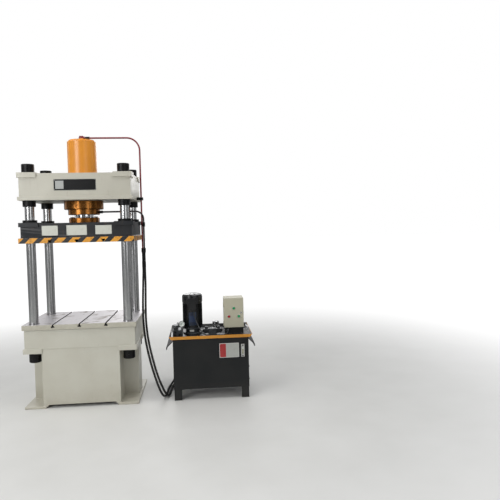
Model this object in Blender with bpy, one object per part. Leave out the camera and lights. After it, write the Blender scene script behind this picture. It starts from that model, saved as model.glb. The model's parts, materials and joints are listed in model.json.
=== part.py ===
"""Four-column hydraulic press with the oil power unit that drives it.

Metres, +Z up. The floor is Z = 0, the front faces -Y and the power unit stands on the
+X side of the press. The origin is the centre of the whole footprint on the floor. The
press hangs on one empty and the power unit on another, so each is drawn round its own
centre line.
"""

import math

import bmesh
import bpy
from mathutils import Matrix, Vector

# Fits that every piece shares
GAP = 0.0003
OVERRUN = 0.02
WELD_BITE = 0.004
TURN_SIDES = 16
BIG_SIDES = 24
SMALL_SIDES = 12
SHARP_ANGLE_DEG = 32

# Press: the plan of the table, which the columns and every other plate follow
TABLE_WIDTH = 1.002
TABLE_DEPTH = 0.725
TABLE_HALF_X = TABLE_WIDTH / 2
TABLE_HALF_Y = TABLE_DEPTH / 2
COLUMN_INSET_X = 0.082
COLUMN_INSET_Y = 0.0925
COLUMN_X = TABLE_HALF_X - COLUMN_INSET_X
COLUMN_Y = TABLE_HALF_Y - COLUMN_INSET_Y
COLUMN_R = 0.041
COLUMN_BORE_R = COLUMN_R + GAP

# Press: bed weldment
BED_FOOT_T = 0.020
BED_FOOT_REACH = 0.103
BED_FOOT_OVERHANG = 0.003
BED_FOOT_INSET_Y = 0.0105
BED_FOOT_INNER_X = COLUMN_X - BED_FOOT_REACH
BED_FOOT_OUTER_X = TABLE_HALF_X + BED_FOOT_OVERHANG
BED_FOOT_HALF_Y = TABLE_HALF_Y - BED_FOOT_INSET_Y
BED_WALL_T = 0.022
BED_CORE_REACH = 0.076
BED_CORE_INSET_Y = 0.0175
BED_CORE_HALF_X = COLUMN_X - BED_CORE_REACH
BED_CORE_HALF_Y = TABLE_HALF_Y - BED_CORE_INSET_Y
BED_ARM_INSET = 0.018
BED_ARM_REACH_Y = 0.160
BED_ARM_HALF_X = TABLE_HALF_X - BED_ARM_INSET
BED_ARM_HALF_Y = COLUMN_Y - BED_ARM_REACH_Y
BED_TOE_EDGE = 0.016
BED_TOE_HALF_X = BED_FOOT_INNER_X - BED_TOE_EDGE
BED_TOE_Z = 0.030
BED_SHELF_LOW_Z = 0.501
BED_SHELF_T = 0.039
BED_SHELF_BITE = 0.007
BED_SHELF_INSET_X = 0.001
BED_SHELF_INSET_Y = 0.0045
BED_SHELF_INNER_X = BED_CORE_HALF_X - BED_SHELF_BITE
BED_SHELF_OUTER_X = TABLE_HALF_X - BED_SHELF_INSET_X
BED_SHELF_HALF_Y = TABLE_HALF_Y - BED_SHELF_INSET_Y
BED_HEAD_H = 0.175
BED_HEAD_TOP_Z = BED_SHELF_LOW_Z + BED_SHELF_T + BED_HEAD_H
BED_DECK_T = 0.025
BED_BOSS_R = 0.072

# Press: T-slotted plates
TABLE_T = 0.045
SLOT_PITCH = 0.233
SLOT_COUNT = 3
SLOT_NECK_W = 0.014
SLOT_NECK_DEPTH = 0.014
SLOT_FOOT_W = 0.030
SLOT_FOOT_DEPTH = 0.014
PLATE_BORE_R = 0.046

# Press: nuts
NUT_CHAMFER = 0.004
BED_NUT_R = 0.0535
BED_NUT_H = 0.089
CROWN_NUT_R = 0.056
CROWN_NUT_H = 0.055
TOP_NUT_R = 0.055
TOP_NUT_H = 0.077
COLUMN_SHORT_OF_NUT = 0.004
COLUMN_CHAMFER = 0.003

# Press: crown weldment
CROWN_RISE = 1.158
CROWN_LOW_Z = BED_HEAD_TOP_Z + CROWN_RISE
CROWN_FLANGE_T = 0.032
CROWN_REACH_X = 0.068
CROWN_REACH_Y = 0.055
CROWN_LIP = 0.013
CROWN_HALF_X = COLUMN_X + CROWN_REACH_X
CROWN_HALF_Y = COLUMN_Y + CROWN_REACH_Y
CROWN_FLANGE_HALF_X = CROWN_HALF_X + CROWN_LIP
CROWN_FLANGE_HALF_Y = CROWN_HALF_Y + CROWN_LIP
CROWN_BODY_H = 0.239
CROWN_BODY_TOP_Z = CROWN_LOW_Z + CROWN_BODY_H
CROWN_TOP_T = 0.027
CROWN_WALL_T = 0.025
CROWN_PAD_STEP = 0.008
CROWN_PAD_TOP_Z = CROWN_BODY_TOP_Z + CROWN_PAD_STEP
CROWN_PAD_T = 0.045
CROWN_PAD_REACH_X = 0.085
CROWN_PAD_REACH_Y = 0.080
CROWN_PAD_INNER_X = COLUMN_X - CROWN_PAD_REACH_X
CROWN_PAD_INNER_Y = COLUMN_Y - CROWN_PAD_REACH_Y
CROWN_BOSS_R = 0.066
CROWN_HUB_R = 0.168
CROWN_SLOT_Y = 0.122
CROWN_SLOT_RISE = 0.141
CROWN_SLOT_Z = CROWN_LOW_Z + CROWN_SLOT_RISE
CROWN_SLOT_W = 0.014
CROWN_SLOT_H = 0.034

# Press: slide at the top of its stroke
SLIDE_RISE = 0.775
SLIDE_LOW_Z = BED_HEAD_TOP_Z + SLIDE_RISE
SLIDE_PLATE_T = 0.047
SLIDE_PLATE_REACH_X = 0.084
SLIDE_PLATE_REACH_Y = 0.075
SLIDE_PLATE_HALF_X = COLUMN_X + SLIDE_PLATE_REACH_X
SLIDE_PLATE_HALF_Y = COLUMN_Y + SLIDE_PLATE_REACH_Y
SLIDE_HALF_X = CROWN_HALF_X
SLIDE_HALF_Y = CROWN_HALF_Y
SLIDE_H = 0.178
SLIDE_TOP_Z = SLIDE_LOW_Z + SLIDE_H
SLIDE_TOP_T = 0.028
SLIDE_WALL_T = 0.025
SLIDE_PAD_STEP = 0.007
SLIDE_PAD_TOP_Z = SLIDE_TOP_Z + SLIDE_PAD_STEP
SLIDE_PAD_T = 0.038
SLIDE_PAD_REACH_X = 0.089
SLIDE_PAD_INNER_X = COLUMN_X - SLIDE_PAD_REACH_X
SLIDE_BOSS_R = 0.070
SLIDE_HUB_R = 0.125
SLIDE_RIB_T = 0.022
SLIDE_RIB_STEP = 0.004
BUSH_SLEEVE_R = 0.052
BUSH_FLANGE_R = 0.062
BUSH_FLANGE_T = 0.022
BUSH_LENGTH = 0.150

# Press: cylinder, rod and their rings
BARREL_R = 0.1335
BARREL_BORE_R = 0.105
BARREL_RISE = 0.338
BARREL_TOP_Z = CROWN_BODY_TOP_Z + BARREL_RISE
BARREL_CAP_T = 0.040
BARREL_SHOULDER_R = 0.121
BARREL_SHOULDER_H = 0.014
BARREL_DOME_R = 0.080
BARREL_DOME_H = 0.005
BARREL_PORT_R = 0.010
LOCK_RING_R = 0.180
LOCK_RING_H = 0.078
LOCK_RING_CHAMFER = 0.003
GLAND_R = 0.145
GLAND_H = 0.050
GLAND_SPIGOT_H = 0.025
PORT_BORE_R = 0.0085
PORT_DEPTH = 0.018
ROD_R = 0.0875
ROD_NECK_R = 0.045
ROD_CLEARANCE = 0.0005
PISTON_T = 0.070
PISTON_TOP_CLEARANCE = 0.015
PISTON_CLEARANCE = 0.0004
PISTON_GROOVE_DEPTH = 0.005
PISTON_GROOVE_H = 0.012
ROD_FLANGE_R = 0.140
ROD_FLANGE_T = 0.048
ROD_FLANGE_CHAMFER = 0.003
FLANGE_SCREW_COUNT = 8
FLANGE_SCREW_PITCH_R = 0.118
FLANGE_SCREW_R = 0.011
FLANGE_SCREW_H = 0.012
HEX_SIDES = 6

# Press: rigid pipes down its right side
PIPE_R = 0.008
PIPE_SIDES = 8
PIPE_CLEARANCE = 0.0008
PIPE_ARC_STEPS = 6
UNION_R = 0.0135
UNION_L = 0.042
ELBOW_BLOCK = 0.038
ELBOW_STUB_R = 0.015
ELBOW_STUB_L = 0.014
PIPE_OFF_SLIDE = 0.038
PIPE_PITCH = 0.021
UPPER_PIPE_X = SLIDE_PLATE_HALF_X + PIPE_OFF_SLIDE
UPPER_PIPE_BEND_R = 0.120
LOWER_PIPE_X = UPPER_PIPE_X + PIPE_PITCH
LOWER_PIPE_BEND_R = 0.075
LOWER_PIPE_TURN_DEG = 3.2
LOWER_PORT_DROP = 0.104
LOWER_PORT_Z = CROWN_LOW_Z - LOWER_PORT_DROP
LOWER_UNION_DROP = 0.069
LOWER_UNION_Z = LOWER_PORT_Z - LOWER_UNION_DROP
PIPE_DROP = 0.501
PIPE_END_Z = CROWN_LOW_Z - PIPE_DROP
CLAMP_WIDTH = 0.040
CLAMP_H = 0.028
CLAMP_EDGE = 0.018
CLAMP_RISE = 0.016
CLAMP_Z = CROWN_LOW_Z + CLAMP_RISE

# Power unit: the tank, drawn round its own centre
TANK_HALF_X = 0.3485
TANK_HALF_Y = 0.2575
UNIT_STAND_OFF = 0.321
UNIT_OFFSET_X = BED_FOOT_OUTER_X + UNIT_STAND_OFF + TANK_HALF_X
UNIT_OFFSET_Y = -0.0675
TANK_LOW_Z = 0.101
TANK_TOP_Z = 0.572
TANK_WALL_T = 0.005
LEG_WIDTH = 0.071
LEG_T = 0.006
LEG_INSET = 0.001
RAIL_REACH = 0.0635
RAIL_TOP_Z = 0.562
RAIL_BEND_Z = 0.500
RAIL_LOW_Z = 0.478
RAIL_T = 0.006
RAIL_DROP_SHARE = 1.4
TRAY_OVERHANG = 0.0165
TRAY_T = 0.008
TRAY_RIM_H = 0.032
TRAY_FLARE = 0.020
TRAY_RIM_T = 0.004
COVER_INSET = 0.1275
COVER_HALF_Y = TANK_HALF_Y - COVER_INSET
COVER_LOW_Z = 0.118
COVER_H = 0.150
COVER_T = 0.012
COVER_SCREW_R = 0.008
COVER_SCREW_H = 0.008
COVER_SCREW_EDGE = 0.015
COVER_SCREW_COLUMNS = 4
COVER_PLUG_R = 0.016
COVER_PLUG_H = 0.013
LEVEL_INSET = 0.0535
LEVEL_X = TANK_HALF_X - LEVEL_INSET
LEVEL_Z = 0.4475
LEVEL_W = 0.032
LEVEL_H = 0.120
LEVEL_T = 0.016
LEVEL_WINDOW_W = 0.014
LEVEL_WINDOW_H = 0.066
LEVEL_WINDOW_DEPTH = 0.008
BREATHER_INSET_X = 0.2885
BREATHER_INSET_Y = 0.0875
BREATHER_X = TANK_HALF_X - BREATHER_INSET_X
BREATHER_Y = TANK_HALF_Y - BREATHER_INSET_Y
BREATHER_R = 0.035
BREATHER_NECK_R = 0.026
BREATHER_NECK_H = 0.030
BREATHER_CAP_H = 0.045
BREATHER_SPOUT_R = 0.022
BREATHER_SPOUT_L = 0.060
LID_HOLE_CLEARANCE = 0.002

# Power unit: motor, adaptor and pump on one vertical axis
MOTOR_INSET = 0.1815
MOTOR_X = MOTOR_INSET - TANK_HALF_X
MOTOR_Y = 0.0
ADAPTOR_H = 0.060
ADAPTOR_FLANGE_R = 0.094
ADAPTOR_FLANGE_T = 0.012
ADAPTOR_WAIST_R = 0.068
ADAPTOR_BORE_R = 0.042
HOUSING_H = 0.244
HOUSING_R = 0.0885
HOUSING_FIN_R = 0.0945
HOUSING_FIN_COUNT = 18
HOUSING_FIN_ROOT_SHARE = 0.60
HOUSING_FIN_TIP_SHARE = 0.28
ROTOR_CORE_R = 0.055
ROTOR_CORE_INSET = 0.036
ROTOR_CLEARANCE = 0.001
SHAFT_R = 0.014
COUPLING_R = 0.032
COUPLING_H = 0.034
COWL_R = 0.098
COWL_H = 0.081
COWL_T = 0.003
COWL_BEND_H = 0.018
COWL_BEND_R = 0.080
COWL_DOME_H = 0.008
COWL_DOME_R = 0.045
COWL_SLOT_COUNT = 8
COWL_SLOT_W = 0.007
COWL_SLOT_INNER_R = 0.030
COWL_SLOT_OUTER_R = 0.074
FAN_R = 0.078
FAN_HUB_R = 0.024
FAN_H = 0.030
FAN_DISC_T = 0.004
FAN_BLADE_COUNT = 6
FAN_BLADE_T = 0.004
FAN_LIFT = 0.014
TERMINAL_W = 0.076
TERMINAL_H = 0.112
TERMINAL_OUT = 0.042
TERMINAL_LOW_Z = 0.822
TERMINAL_GLAND_R = 0.011
TERMINAL_GLAND_H = 0.016
PUMP_FLANGE_R = 0.056
PUMP_FLANGE_T = 0.012
PUMP_HALF_X = 0.048
PUMP_HALF_Y = 0.040
PUMP_H = 0.120
STRAINER_PIPE_R = 0.014
STRAINER_R = 0.040
STRAINER_L = 0.140
STRAINER_DROP = 0.090
STRAINER_CAP_T = 0.012
STRAINER_RIB_DEPTH = 0.004
STRAINER_RIB_COUNT = 3

# Power unit: valve manifold with relief valve and gauge
MANIFOLD_OVERHANG = 0.0035
MANIFOLD_INSET = 0.0675
MANIFOLD_W = 0.090
MANIFOLD_D = 0.130
MANIFOLD_LOW_X = -TANK_HALF_X - MANIFOLD_OVERHANG
MANIFOLD_HIGH_X = MANIFOLD_LOW_X + MANIFOLD_W
MANIFOLD_LOW_Y = MANIFOLD_INSET - TANK_HALF_Y
MANIFOLD_HIGH_Y = MANIFOLD_LOW_Y + MANIFOLD_D
MANIFOLD_H = 0.064
RELIEF_HALF_X = 0.022
RELIEF_HALF_Y = 0.034
RELIEF_H = 0.040
RELIEF_INSET_X = 0.027
RELIEF_INSET_Y = 0.055
RELIEF_X = MANIFOLD_LOW_X + RELIEF_INSET_X
RELIEF_Y = MANIFOLD_LOW_Y + RELIEF_INSET_Y
KNOB_R = 0.015
KNOB_L = 0.022
KNOB_NECK_R = 0.007
KNOB_NECK_L = 0.012
KNOB_FLUTES = 12
KNOB_FLUTE_SHARE = 0.90
GAUGE_INSET_X = 0.0065
GAUGE_INSET_Y = 0.060
GAUGE_X = MANIFOLD_HIGH_X - GAUGE_INSET_X
GAUGE_Y = MANIFOLD_LOW_Y + GAUGE_INSET_Y
GAUGE_Z = 0.694
GAUGE_R = 0.0275
GAUGE_DEPTH = 0.026
GAUGE_WALL_T = 0.0025
GAUGE_DIAL_DEPTH = 0.012
GAUGE_GLASS_T = 0.002
GAUGE_GLASS_SET = 0.001
GAUGE_STEM_R = 0.007
POINTER_HUB_R = 0.0032
POINTER_HUB_T = 0.002
POINTER_LENGTH = 0.018
POINTER_TAIL = 0.006
POINTER_W = 0.0022
POINTER_T = 0.001
POINTER_REST_DEG = 225.0
POINTER_LIFT = 0.0035
OUTLET_R = 0.009
OUTLET_Z = 0.622
OUTLET_INSET = 0.0255
OUTLET_REACH = 0.0645
OUTLET_FIRST_X = MANIFOLD_LOW_X + OUTLET_INSET
OUTLET_PITCH = 0.042
OUTLET_DROP_Y = TANK_HALF_Y + OUTLET_REACH
OUTLET_HOSE_Z = 0.300
OUTLET_BEND_R = 0.034
OUTLET_END_Z = 0.540
OUTLET_UNION_R = 0.014
OUTLET_UNION_L = 0.034

# Power unit: directional valve with two solenoids, between the motor and the box
BOX_INSET_X = 0.1215
BOX_X = TANK_HALF_X - BOX_INSET_X
VALVE_SHARE = 0.475
VALVE_INSET_Y = 0.1225
VALVE_X = MOTOR_X + VALVE_SHARE * (BOX_X - MOTOR_X)
VALVE_Y = VALVE_INSET_Y - TANK_HALF_Y
VALVE_BASE_HALF_X = 0.040
VALVE_BASE_HALF_Y = 0.036
VALVE_BASE_H = 0.015
VALVE_BODY_HALF_X = 0.033
VALVE_BODY_HALF_Y = 0.024
VALVE_BODY_H = 0.046
SOLENOID_L = 0.052
SOLENOID_HALF = 0.021
SOLENOID_END_R = 0.012
SOLENOID_END_L = 0.012
CONNECTOR_HALF = 0.014
CONNECTOR_H = 0.026

# Power unit: control box
BOX_INSET_Y = 0.115
BOX_FRONT_Y = BOX_INSET_Y - TANK_HALF_Y
BOX_LOW_Z = 0.641
BOX_W = 0.186
BOX_H = 0.280
BOX_D = 0.190
BOX_WALL_T = 0.002
BOX_LIP_W = 0.012
DOOR_T = 0.018
DOOR_SKIN_T = 0.002
DOOR_GAP = 0.001
HINGE_R = 0.004
HINGE_H = 0.030
HINGE_OUT = 0.0045
HINGE_SHARES = (0.18, 0.82)
STAND_W = 0.180
STAND_D = 0.120
STAND_T = 0.004
BODY_KNUCKLE_SHARE = 0.6
LEAF_T = 0.002
LOCK_EDGE = 0.023
LOCK_HEAD_R = 0.009
LOCK_HEAD_T = 0.004
LOCK_KEY_W = 0.002
LOCK_KEY_DEPTH = 0.002
LOCK_SHANK_R = 0.0055
LOCK_CAM_L = 0.019
LOCK_CAM_W = 0.010
LOCK_CAM_T = 0.0025
LOCK_CAM_GAP = 0.001
BEZEL_R = 0.0155
BEZEL_H = 0.004
CONTACT_BLOCK_D = 0.026
BUTTON_R = 0.0115
BUTTON_OUT = 0.007
BUTTON_STEM_R = 0.0075
BUTTON_STEM_L = 0.012
BUTTON_CLEARANCE = 0.0006
BUTTON_HIGH_Z = 0.825
BUTTON_LOW_Z = 0.747
BUTTON_PAIR_PITCH = 0.094
PLATE_W = 0.140
PLATE_H = 0.220
PLATE_T = 0.002
PLATE_OFF_WALL = 0.008
CONTACTOR_W = 0.045
CONTACTOR_H = 0.075
CONTACTOR_D = 0.080
CONTACTOR_OFFSET_SHARE = 0.6
RELAY_H = 0.050
RELAY_D = 0.060
TERMINAL_STRIP_H = 0.030
TERMINAL_STRIP_D = 0.040
STANDOFF_R = 0.005
CABLE_R = 0.0055
CABLE_SIDES = 6
CABLE_SPACING = 0.024
CABLE_START_INSET = 0.017
CABLE_START_OUT = 0.030
CABLE_START_DROP = 0.001
CABLE_END_INSET = 0.060
CABLE_END_DEPTH = 0.0325
CABLE_END_Z = 0.634
CABLE_RUN_SHARES = (0.0126, 0.0883, 0.1703, 0.2650, 0.4416,
                    0.6625, 0.8644, 0.9779, 0.9968, 1.0000)
CABLE_BENDS = (
    (-0.0022, 0.7600),
    (-0.0096, 0.6900),
    (-0.0351, 0.6400),
    (-0.0668, 0.6000),
    (-0.0819, 0.5870),
    (-0.0899, 0.5870),
    (-0.0876, 0.5880),
    (-0.0596, 0.5980),
    (-0.0199, 0.6160),
    (-0.0020, 0.6280),
)

# Samples between two route points
ROUTE_PARTS = 24

# Free hoses: each route falls from the end of its pipe and rises to its outlet, and its
# points are measured from that pipe and from that outlet
HOSE_R = 0.0105
HOSE_SPACING = 0.058
HOSE_RESOLUTION = 2
HOSE_LEAD = 0.045
HOSE_FLOOR_GAP = 0.001
HOSE_DROP = 0.142
HOSE_HIGH_Z = PIPE_END_Z - HOSE_DROP
PRESSURE_FALL = (
    (-0.0040, -0.0260, 1.0500),
    (-0.0070, -0.0700, 0.8600),
    (-0.0010, -0.1200, 0.7200),
    (0.0190, -0.1800, 0.5600),
    (0.0590, -0.2450, 0.3900),
    (0.1050, -0.2920, 0.2400),
    (0.1430, -0.3090, 0.1300),
    (0.1730, -0.2810, 0.0500),
    (0.1920, -0.2030, 0.0140),
    (0.2030, -0.1000, 0.0115),
    (0.2090, 0.0200, 0.0115),
)
PRESSURE_RISE = (
    (-0.0850, -0.1345, 0.0125),
    (-0.0590, -0.0575, 0.0300),
    (-0.0300, -0.0125, 0.0850),
    (-0.0080, 0.0015, 0.1650),
)
RETURN_FALL = (
    (0.0019, -0.0206, 1.0500),
    (0.0019, -0.0666, 0.8600),
    (0.0059, -0.1066, 0.7200),
    (0.0269, -0.1646, 0.5600),
    (0.0669, -0.2186, 0.3900),
    (0.1109, -0.2516, 0.2400),
    (0.1509, -0.2556, 0.1300),
    (0.1829, -0.2236, 0.0500),
    (0.2029, -0.1486, 0.0140),
    (0.2139, -0.0586, 0.0115),
    (0.2209, 0.0514, 0.0115),
)
RETURN_RISE = (
    (-0.0970, -0.1425, 0.0115),
    (-0.0770, -0.0585, 0.0240),
    (-0.0470, -0.0085, 0.0700),
    (-0.0180, 0.0095, 0.1470),
)

# Places that follow from the sizes above
COLUMN_PLACES = tuple(
    (side_x * COLUMN_X, side_y * COLUMN_Y)
    for side_y in (-1, 1)
    for side_x in (-1, 1)
)
CORNERS = tuple((side_x, side_y) for side_y in (-1, 1) for side_x in (-1, 1))
BED_SHELF_HIGH_Z = BED_SHELF_LOW_Z + BED_SHELF_T
TABLE_LOW_Z = BED_HEAD_TOP_Z + GAP
TABLE_TOP_Z = TABLE_LOW_Z + TABLE_T
COLUMN_LOW_Z = BED_SHELF_LOW_Z - BED_NUT_H - COLUMN_SHORT_OF_NUT
COLUMN_TOP_Z = CROWN_PAD_TOP_Z + TOP_NUT_H - COLUMN_SHORT_OF_NUT
SLIDE_BODY_LOW_Z = SLIDE_LOW_Z + SLIDE_PLATE_T + GAP
ROD_LOW_Z = SLIDE_TOP_Z + GAP
BARREL_LOW_Z = CROWN_LOW_Z - LOCK_RING_H
GLAND_LOW_Z = BARREL_LOW_Z - GAP - GLAND_H
PISTON_TOP_Z = BARREL_TOP_Z - BARREL_CAP_T - PISTON_TOP_CLEARANCE
PISTON_LOW_Z = PISTON_TOP_Z - PISTON_T
BARREL_CROWN_Z = BARREL_TOP_Z + BARREL_DOME_H
ELBOW_MID_Z = BARREL_CROWN_Z + GAP + ELBOW_BLOCK / 2
TRAY_TOP_Z = TANK_TOP_Z + TRAY_T
TRAY_HALF_X = TANK_HALF_X + TRAY_OVERHANG
TRAY_HALF_Y = TANK_HALF_Y + TRAY_OVERHANG
UNIT_SEAT_Z = TRAY_TOP_Z + GAP
HOUSING_LOW_Z = UNIT_SEAT_Z + ADAPTOR_H + GAP
HOUSING_TOP_Z = HOUSING_LOW_Z + HOUSING_H
MANIFOLD_TOP_Z = UNIT_SEAT_Z + MANIFOLD_H
CABLE_START = (
    MOTOR_X + CABLE_START_INSET,
    MOTOR_Y - COWL_R - CABLE_START_OUT,
    TERMINAL_LOW_Z - TERMINAL_GLAND_H - CABLE_START_DROP,
)
CABLE_END = (BOX_X - CABLE_END_INSET, BOX_FRONT_Y + CABLE_END_DEPTH, CABLE_END_Z)
PRESS_X = -(UNIT_OFFSET_X + TANK_HALF_X + RAIL_REACH - BED_FOOT_OUTER_X) / 2

# Finishes: linear colour, metallic, roughness
FINISHES = {
    "frame_paint": ((0.55, 0.54, 0.48), 0.0, 0.45),
    "slide_paint": ((0.035, 0.038, 0.042), 0.0, 0.45),
    "ground_steel": ((0.48, 0.47, 0.45), 1.0, 0.35),
    "polished_column": ((0.70, 0.70, 0.69), 1.0, 0.15),
    "black_oxide": ((0.018, 0.018, 0.019), 0.6, 0.45),
    "cylinder_paint": ((0.72, 0.28, 0.035), 0.0, 0.35),
    "oily_steel": ((0.10, 0.055, 0.03), 0.7, 0.40),
    "chrome": ((0.80, 0.80, 0.80), 1.0, 0.08),
    "bronze": ((0.45, 0.27, 0.12), 1.0, 0.35),
    "pipe_paint": ((0.20, 0.012, 0.022), 0.0, 0.35),
    "hose_rubber": ((0.012, 0.012, 0.012), 0.0, 0.65),
    "tank_paint": ((0.013, 0.014, 0.014), 0.0, 0.40),
    "tray_paint": ((0.75, 0.32, 0.05), 0.0, 0.40),
    "motor_paint": ((0.008, 0.008, 0.009), 0.0, 0.15),
    "cast_grey": ((0.10, 0.10, 0.10), 0.5, 0.50),
    "box_paint": ((0.42, 0.40, 0.33), 0.0, 0.50),
    "dial_white": ((0.80, 0.80, 0.78), 0.0, 0.40),
    "pointer_black": ((0.02, 0.02, 0.02), 0.0, 0.50),
    "clear_glass": ((0.90, 0.95, 0.95), 0.0, 0.05),
    "green_plastic": ((0.02, 0.30, 0.10), 0.0, 0.30),
    "red_plastic": ((0.45, 0.01, 0.01), 0.0, 0.30),
    "relay_plastic": ((0.05, 0.05, 0.055), 0.0, 0.50),
    "filter_mesh": ((0.40, 0.40, 0.38), 0.9, 0.45),
}


def clear_scene():
    """Remove every object that the file opened with."""
    for obj in list(bpy.data.objects):
        bpy.data.objects.remove(obj, do_unlink=True)


def finish(name):
    """Return the named material, made once."""
    found = bpy.data.materials.get(name)
    if found:
        return found
    colour, metallic, roughness = FINISHES[name]
    made = bpy.data.materials.new(name)
    made.use_nodes = True
    shader = made.node_tree.nodes["Principled BSDF"]
    shader.inputs["Base Color"].default_value = (*colour, 1.0)
    shader.inputs["Metallic"].default_value = metallic
    shader.inputs["Roughness"].default_value = roughness
    made.diffuse_color = (*colour, 1.0)
    return made


def add_empty(name, location):
    """Add an empty that carries a group of pieces."""
    empty = bpy.data.objects.new(name, None)
    empty.location = location
    bpy.context.scene.collection.objects.link(empty)
    return empty


def add_piece(name, bm, material_name, parent, location=(0, 0, 0)):
    """Turn a bmesh into a named piece, shaded smooth with sharp edges kept."""
    bmesh.ops.recalc_face_normals(bm, faces=bm.faces)
    mesh = bpy.data.meshes.new(name)
    bm.to_mesh(mesh)
    bm.free()
    mesh.materials.append(finish(material_name))
    mesh.shade_smooth()
    mesh.set_sharp_from_angle(angle=math.radians(SHARP_ANGLE_DEG))
    piece = bpy.data.objects.new(name, mesh)
    piece.parent = parent
    piece.location = location
    bpy.context.scene.collection.objects.link(piece)
    return piece


def add_helper(name, bm, parent, location=(0, 0, 0)):
    """Turn a bmesh into a hidden body that a Boolean uses."""
    helper = add_piece(name, bm, "ground_steel", parent, location)
    helper.hide_render = True
    helper.display_type = "WIRE"
    return helper


def combine(target, tool, operation):
    """Add an exact Boolean of the tool to the target."""
    modifier = target.modifiers.new(f"{operation.lower()}_{tool.name}", "BOOLEAN")
    modifier.operation = operation
    modifier.solver = "EXACT"
    modifier.object = tool


def cut(target, tool_name, bm, parent, location=(0, 0, 0)):
    """Cut the shape in a bmesh from the target."""
    combine(target, add_helper(tool_name, bm, parent, location), "DIFFERENCE")


def join(target, tool_name, bm, parent, location=(0, 0, 0)):
    """Weld the shape in a bmesh to the target."""
    combine(target, add_helper(tool_name, bm, parent, location), "UNION")


def block(bm, low, high):
    """Add a box between two opposite corners."""
    made = bmesh.ops.create_cube(bm, size=1.0)["verts"]
    size = [top - bottom for bottom, top in zip(low, high)]
    middle = [(top + bottom) / 2 for bottom, top in zip(low, high)]
    bmesh.ops.scale(bm, vec=size, verts=made)
    bmesh.ops.translate(bm, vec=middle, verts=made)
    return made


def block_of(low, high):
    """Return a new bmesh that holds one box."""
    bm = bmesh.new()
    block(bm, low, high)
    return bm


def prism(bm, outline, start, end, axis="Z"):
    """Extrude a closed outline along an axis; the outline lies in the other two axes."""
    places = {
        "X": lambda first, second, along: (along, first, second),
        "Y": lambda first, second, along: (first, along, second),
        "Z": lambda first, second, along: (first, second, along),
    }[axis]
    near = [bm.verts.new(places(first, second, start)) for first, second in outline]
    far = [bm.verts.new(places(first, second, end)) for first, second in outline]
    bm.faces.new(near)
    bm.faces.new(far)
    for index in range(len(outline)):
        following = (index + 1) % len(outline)
        bm.faces.new((near[index], near[following], far[following], far[index]))
    return near + far


def turned(bm, profile, sides=TURN_SIDES, centre=(0, 0, 0), axis="Z"):
    """Turn a profile of (radius, height) points round an axis.

    A profile that starts and ends on the axis gives a solid. Any other is closed on
    itself and gives a ring.
    """
    rings = []
    for radius, height in profile:
        if radius == 0:
            rings.append([bm.verts.new((0, 0, height))])
            continue
        rings.append([
            bm.verts.new((
                radius * math.cos(math.tau * side / sides),
                radius * math.sin(math.tau * side / sides),
                height,
            ))
            for side in range(sides)
        ])
    made = [vert for ring in rings for vert in ring]
    pairs = list(zip(rings, rings[1:]))
    if len(rings[0]) > 1:
        pairs.append((rings[-1], rings[0]))
    for lower, upper in pairs:
        for side in range(sides):
            following = (side + 1) % sides
            corners = [lower[side % len(lower)], lower[following % len(lower)]]
            corners += [upper[following % len(upper)], upper[side % len(upper)]]
            corners = list(dict.fromkeys(corners))
            if len(corners) > 2:
                bm.faces.new(corners)
    turns = {
        "X": Matrix.Rotation(math.pi / 2, 4, "Y"),
        "Y": Matrix.Rotation(-math.pi / 2, 4, "X"),
        "Z": Matrix.Identity(4),
    }
    matrix = Matrix.Translation(centre) @ turns[axis]
    bmesh.ops.transform(bm, matrix=matrix, verts=made)
    return made


def rod_profile(radius, low, high):
    """Return the profile of a plain round bar."""
    return [(0, low), (radius, low), (radius, high), (0, high)]


def rods(radius, low, high, places, sides=TURN_SIDES):
    """Return a bmesh with one upright bar at each place."""
    bm = bmesh.new()
    for x, y in places:
        turned(bm, rod_profile(radius, low, high), sides, (x, y, 0))
    return bm


def swept(bm, stations, sides):
    """Sweep a round section along (point, radius) stations, closed at both ends."""
    points = [Vector(point) for point, _ in stations]
    unique = [points[0]]
    for point in points[1:]:
        if (point - unique[-1]).length > GAP / 10:
            unique.append(point)
    tangents = []
    for index in range(len(unique)):
        before = unique[max(index - 1, 0)]
        after = unique[min(index + 1, len(unique) - 1)]
        tangents.append((after - before).normalized())
    side = tangents[0].orthogonal().normalized()
    frames = {}
    for point, tangent in zip(unique, tangents):
        side = (side - tangent * side.dot(tangent)).normalized()
        frames[tuple(point)] = (side.copy(), tangent.cross(side))
    rings = []
    here = unique[0]
    for (_, radius), point in zip(stations, points):
        if tuple(point) in frames:
            here = point
        first, second = frames[tuple(here)]
        ring = []
        for step in range(sides):
            angle = math.tau * step / sides
            offset = first * math.cos(angle) + second * math.sin(angle)
            ring.append(bm.verts.new(point + offset * radius))
        rings.append(ring)
    bm.faces.new(rings[0])
    bm.faces.new(rings[-1])
    for lower, upper in zip(rings, rings[1:]):
        for step in range(sides):
            following = (step + 1) % sides
            bm.faces.new((lower[step], lower[following], upper[following], upper[step]))


def arc(centre, start, end, steps):
    """Return points on the quarter circle that turns from start to end round centre."""
    middle = Vector(centre)
    first = Vector(start) - middle
    last = Vector(end) - middle
    points = []
    for step in range(steps + 1):
        angle = math.pi / 2 * step / steps
        points.append(middle + first * math.cos(angle) + last * math.sin(angle))
    return points


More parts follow.
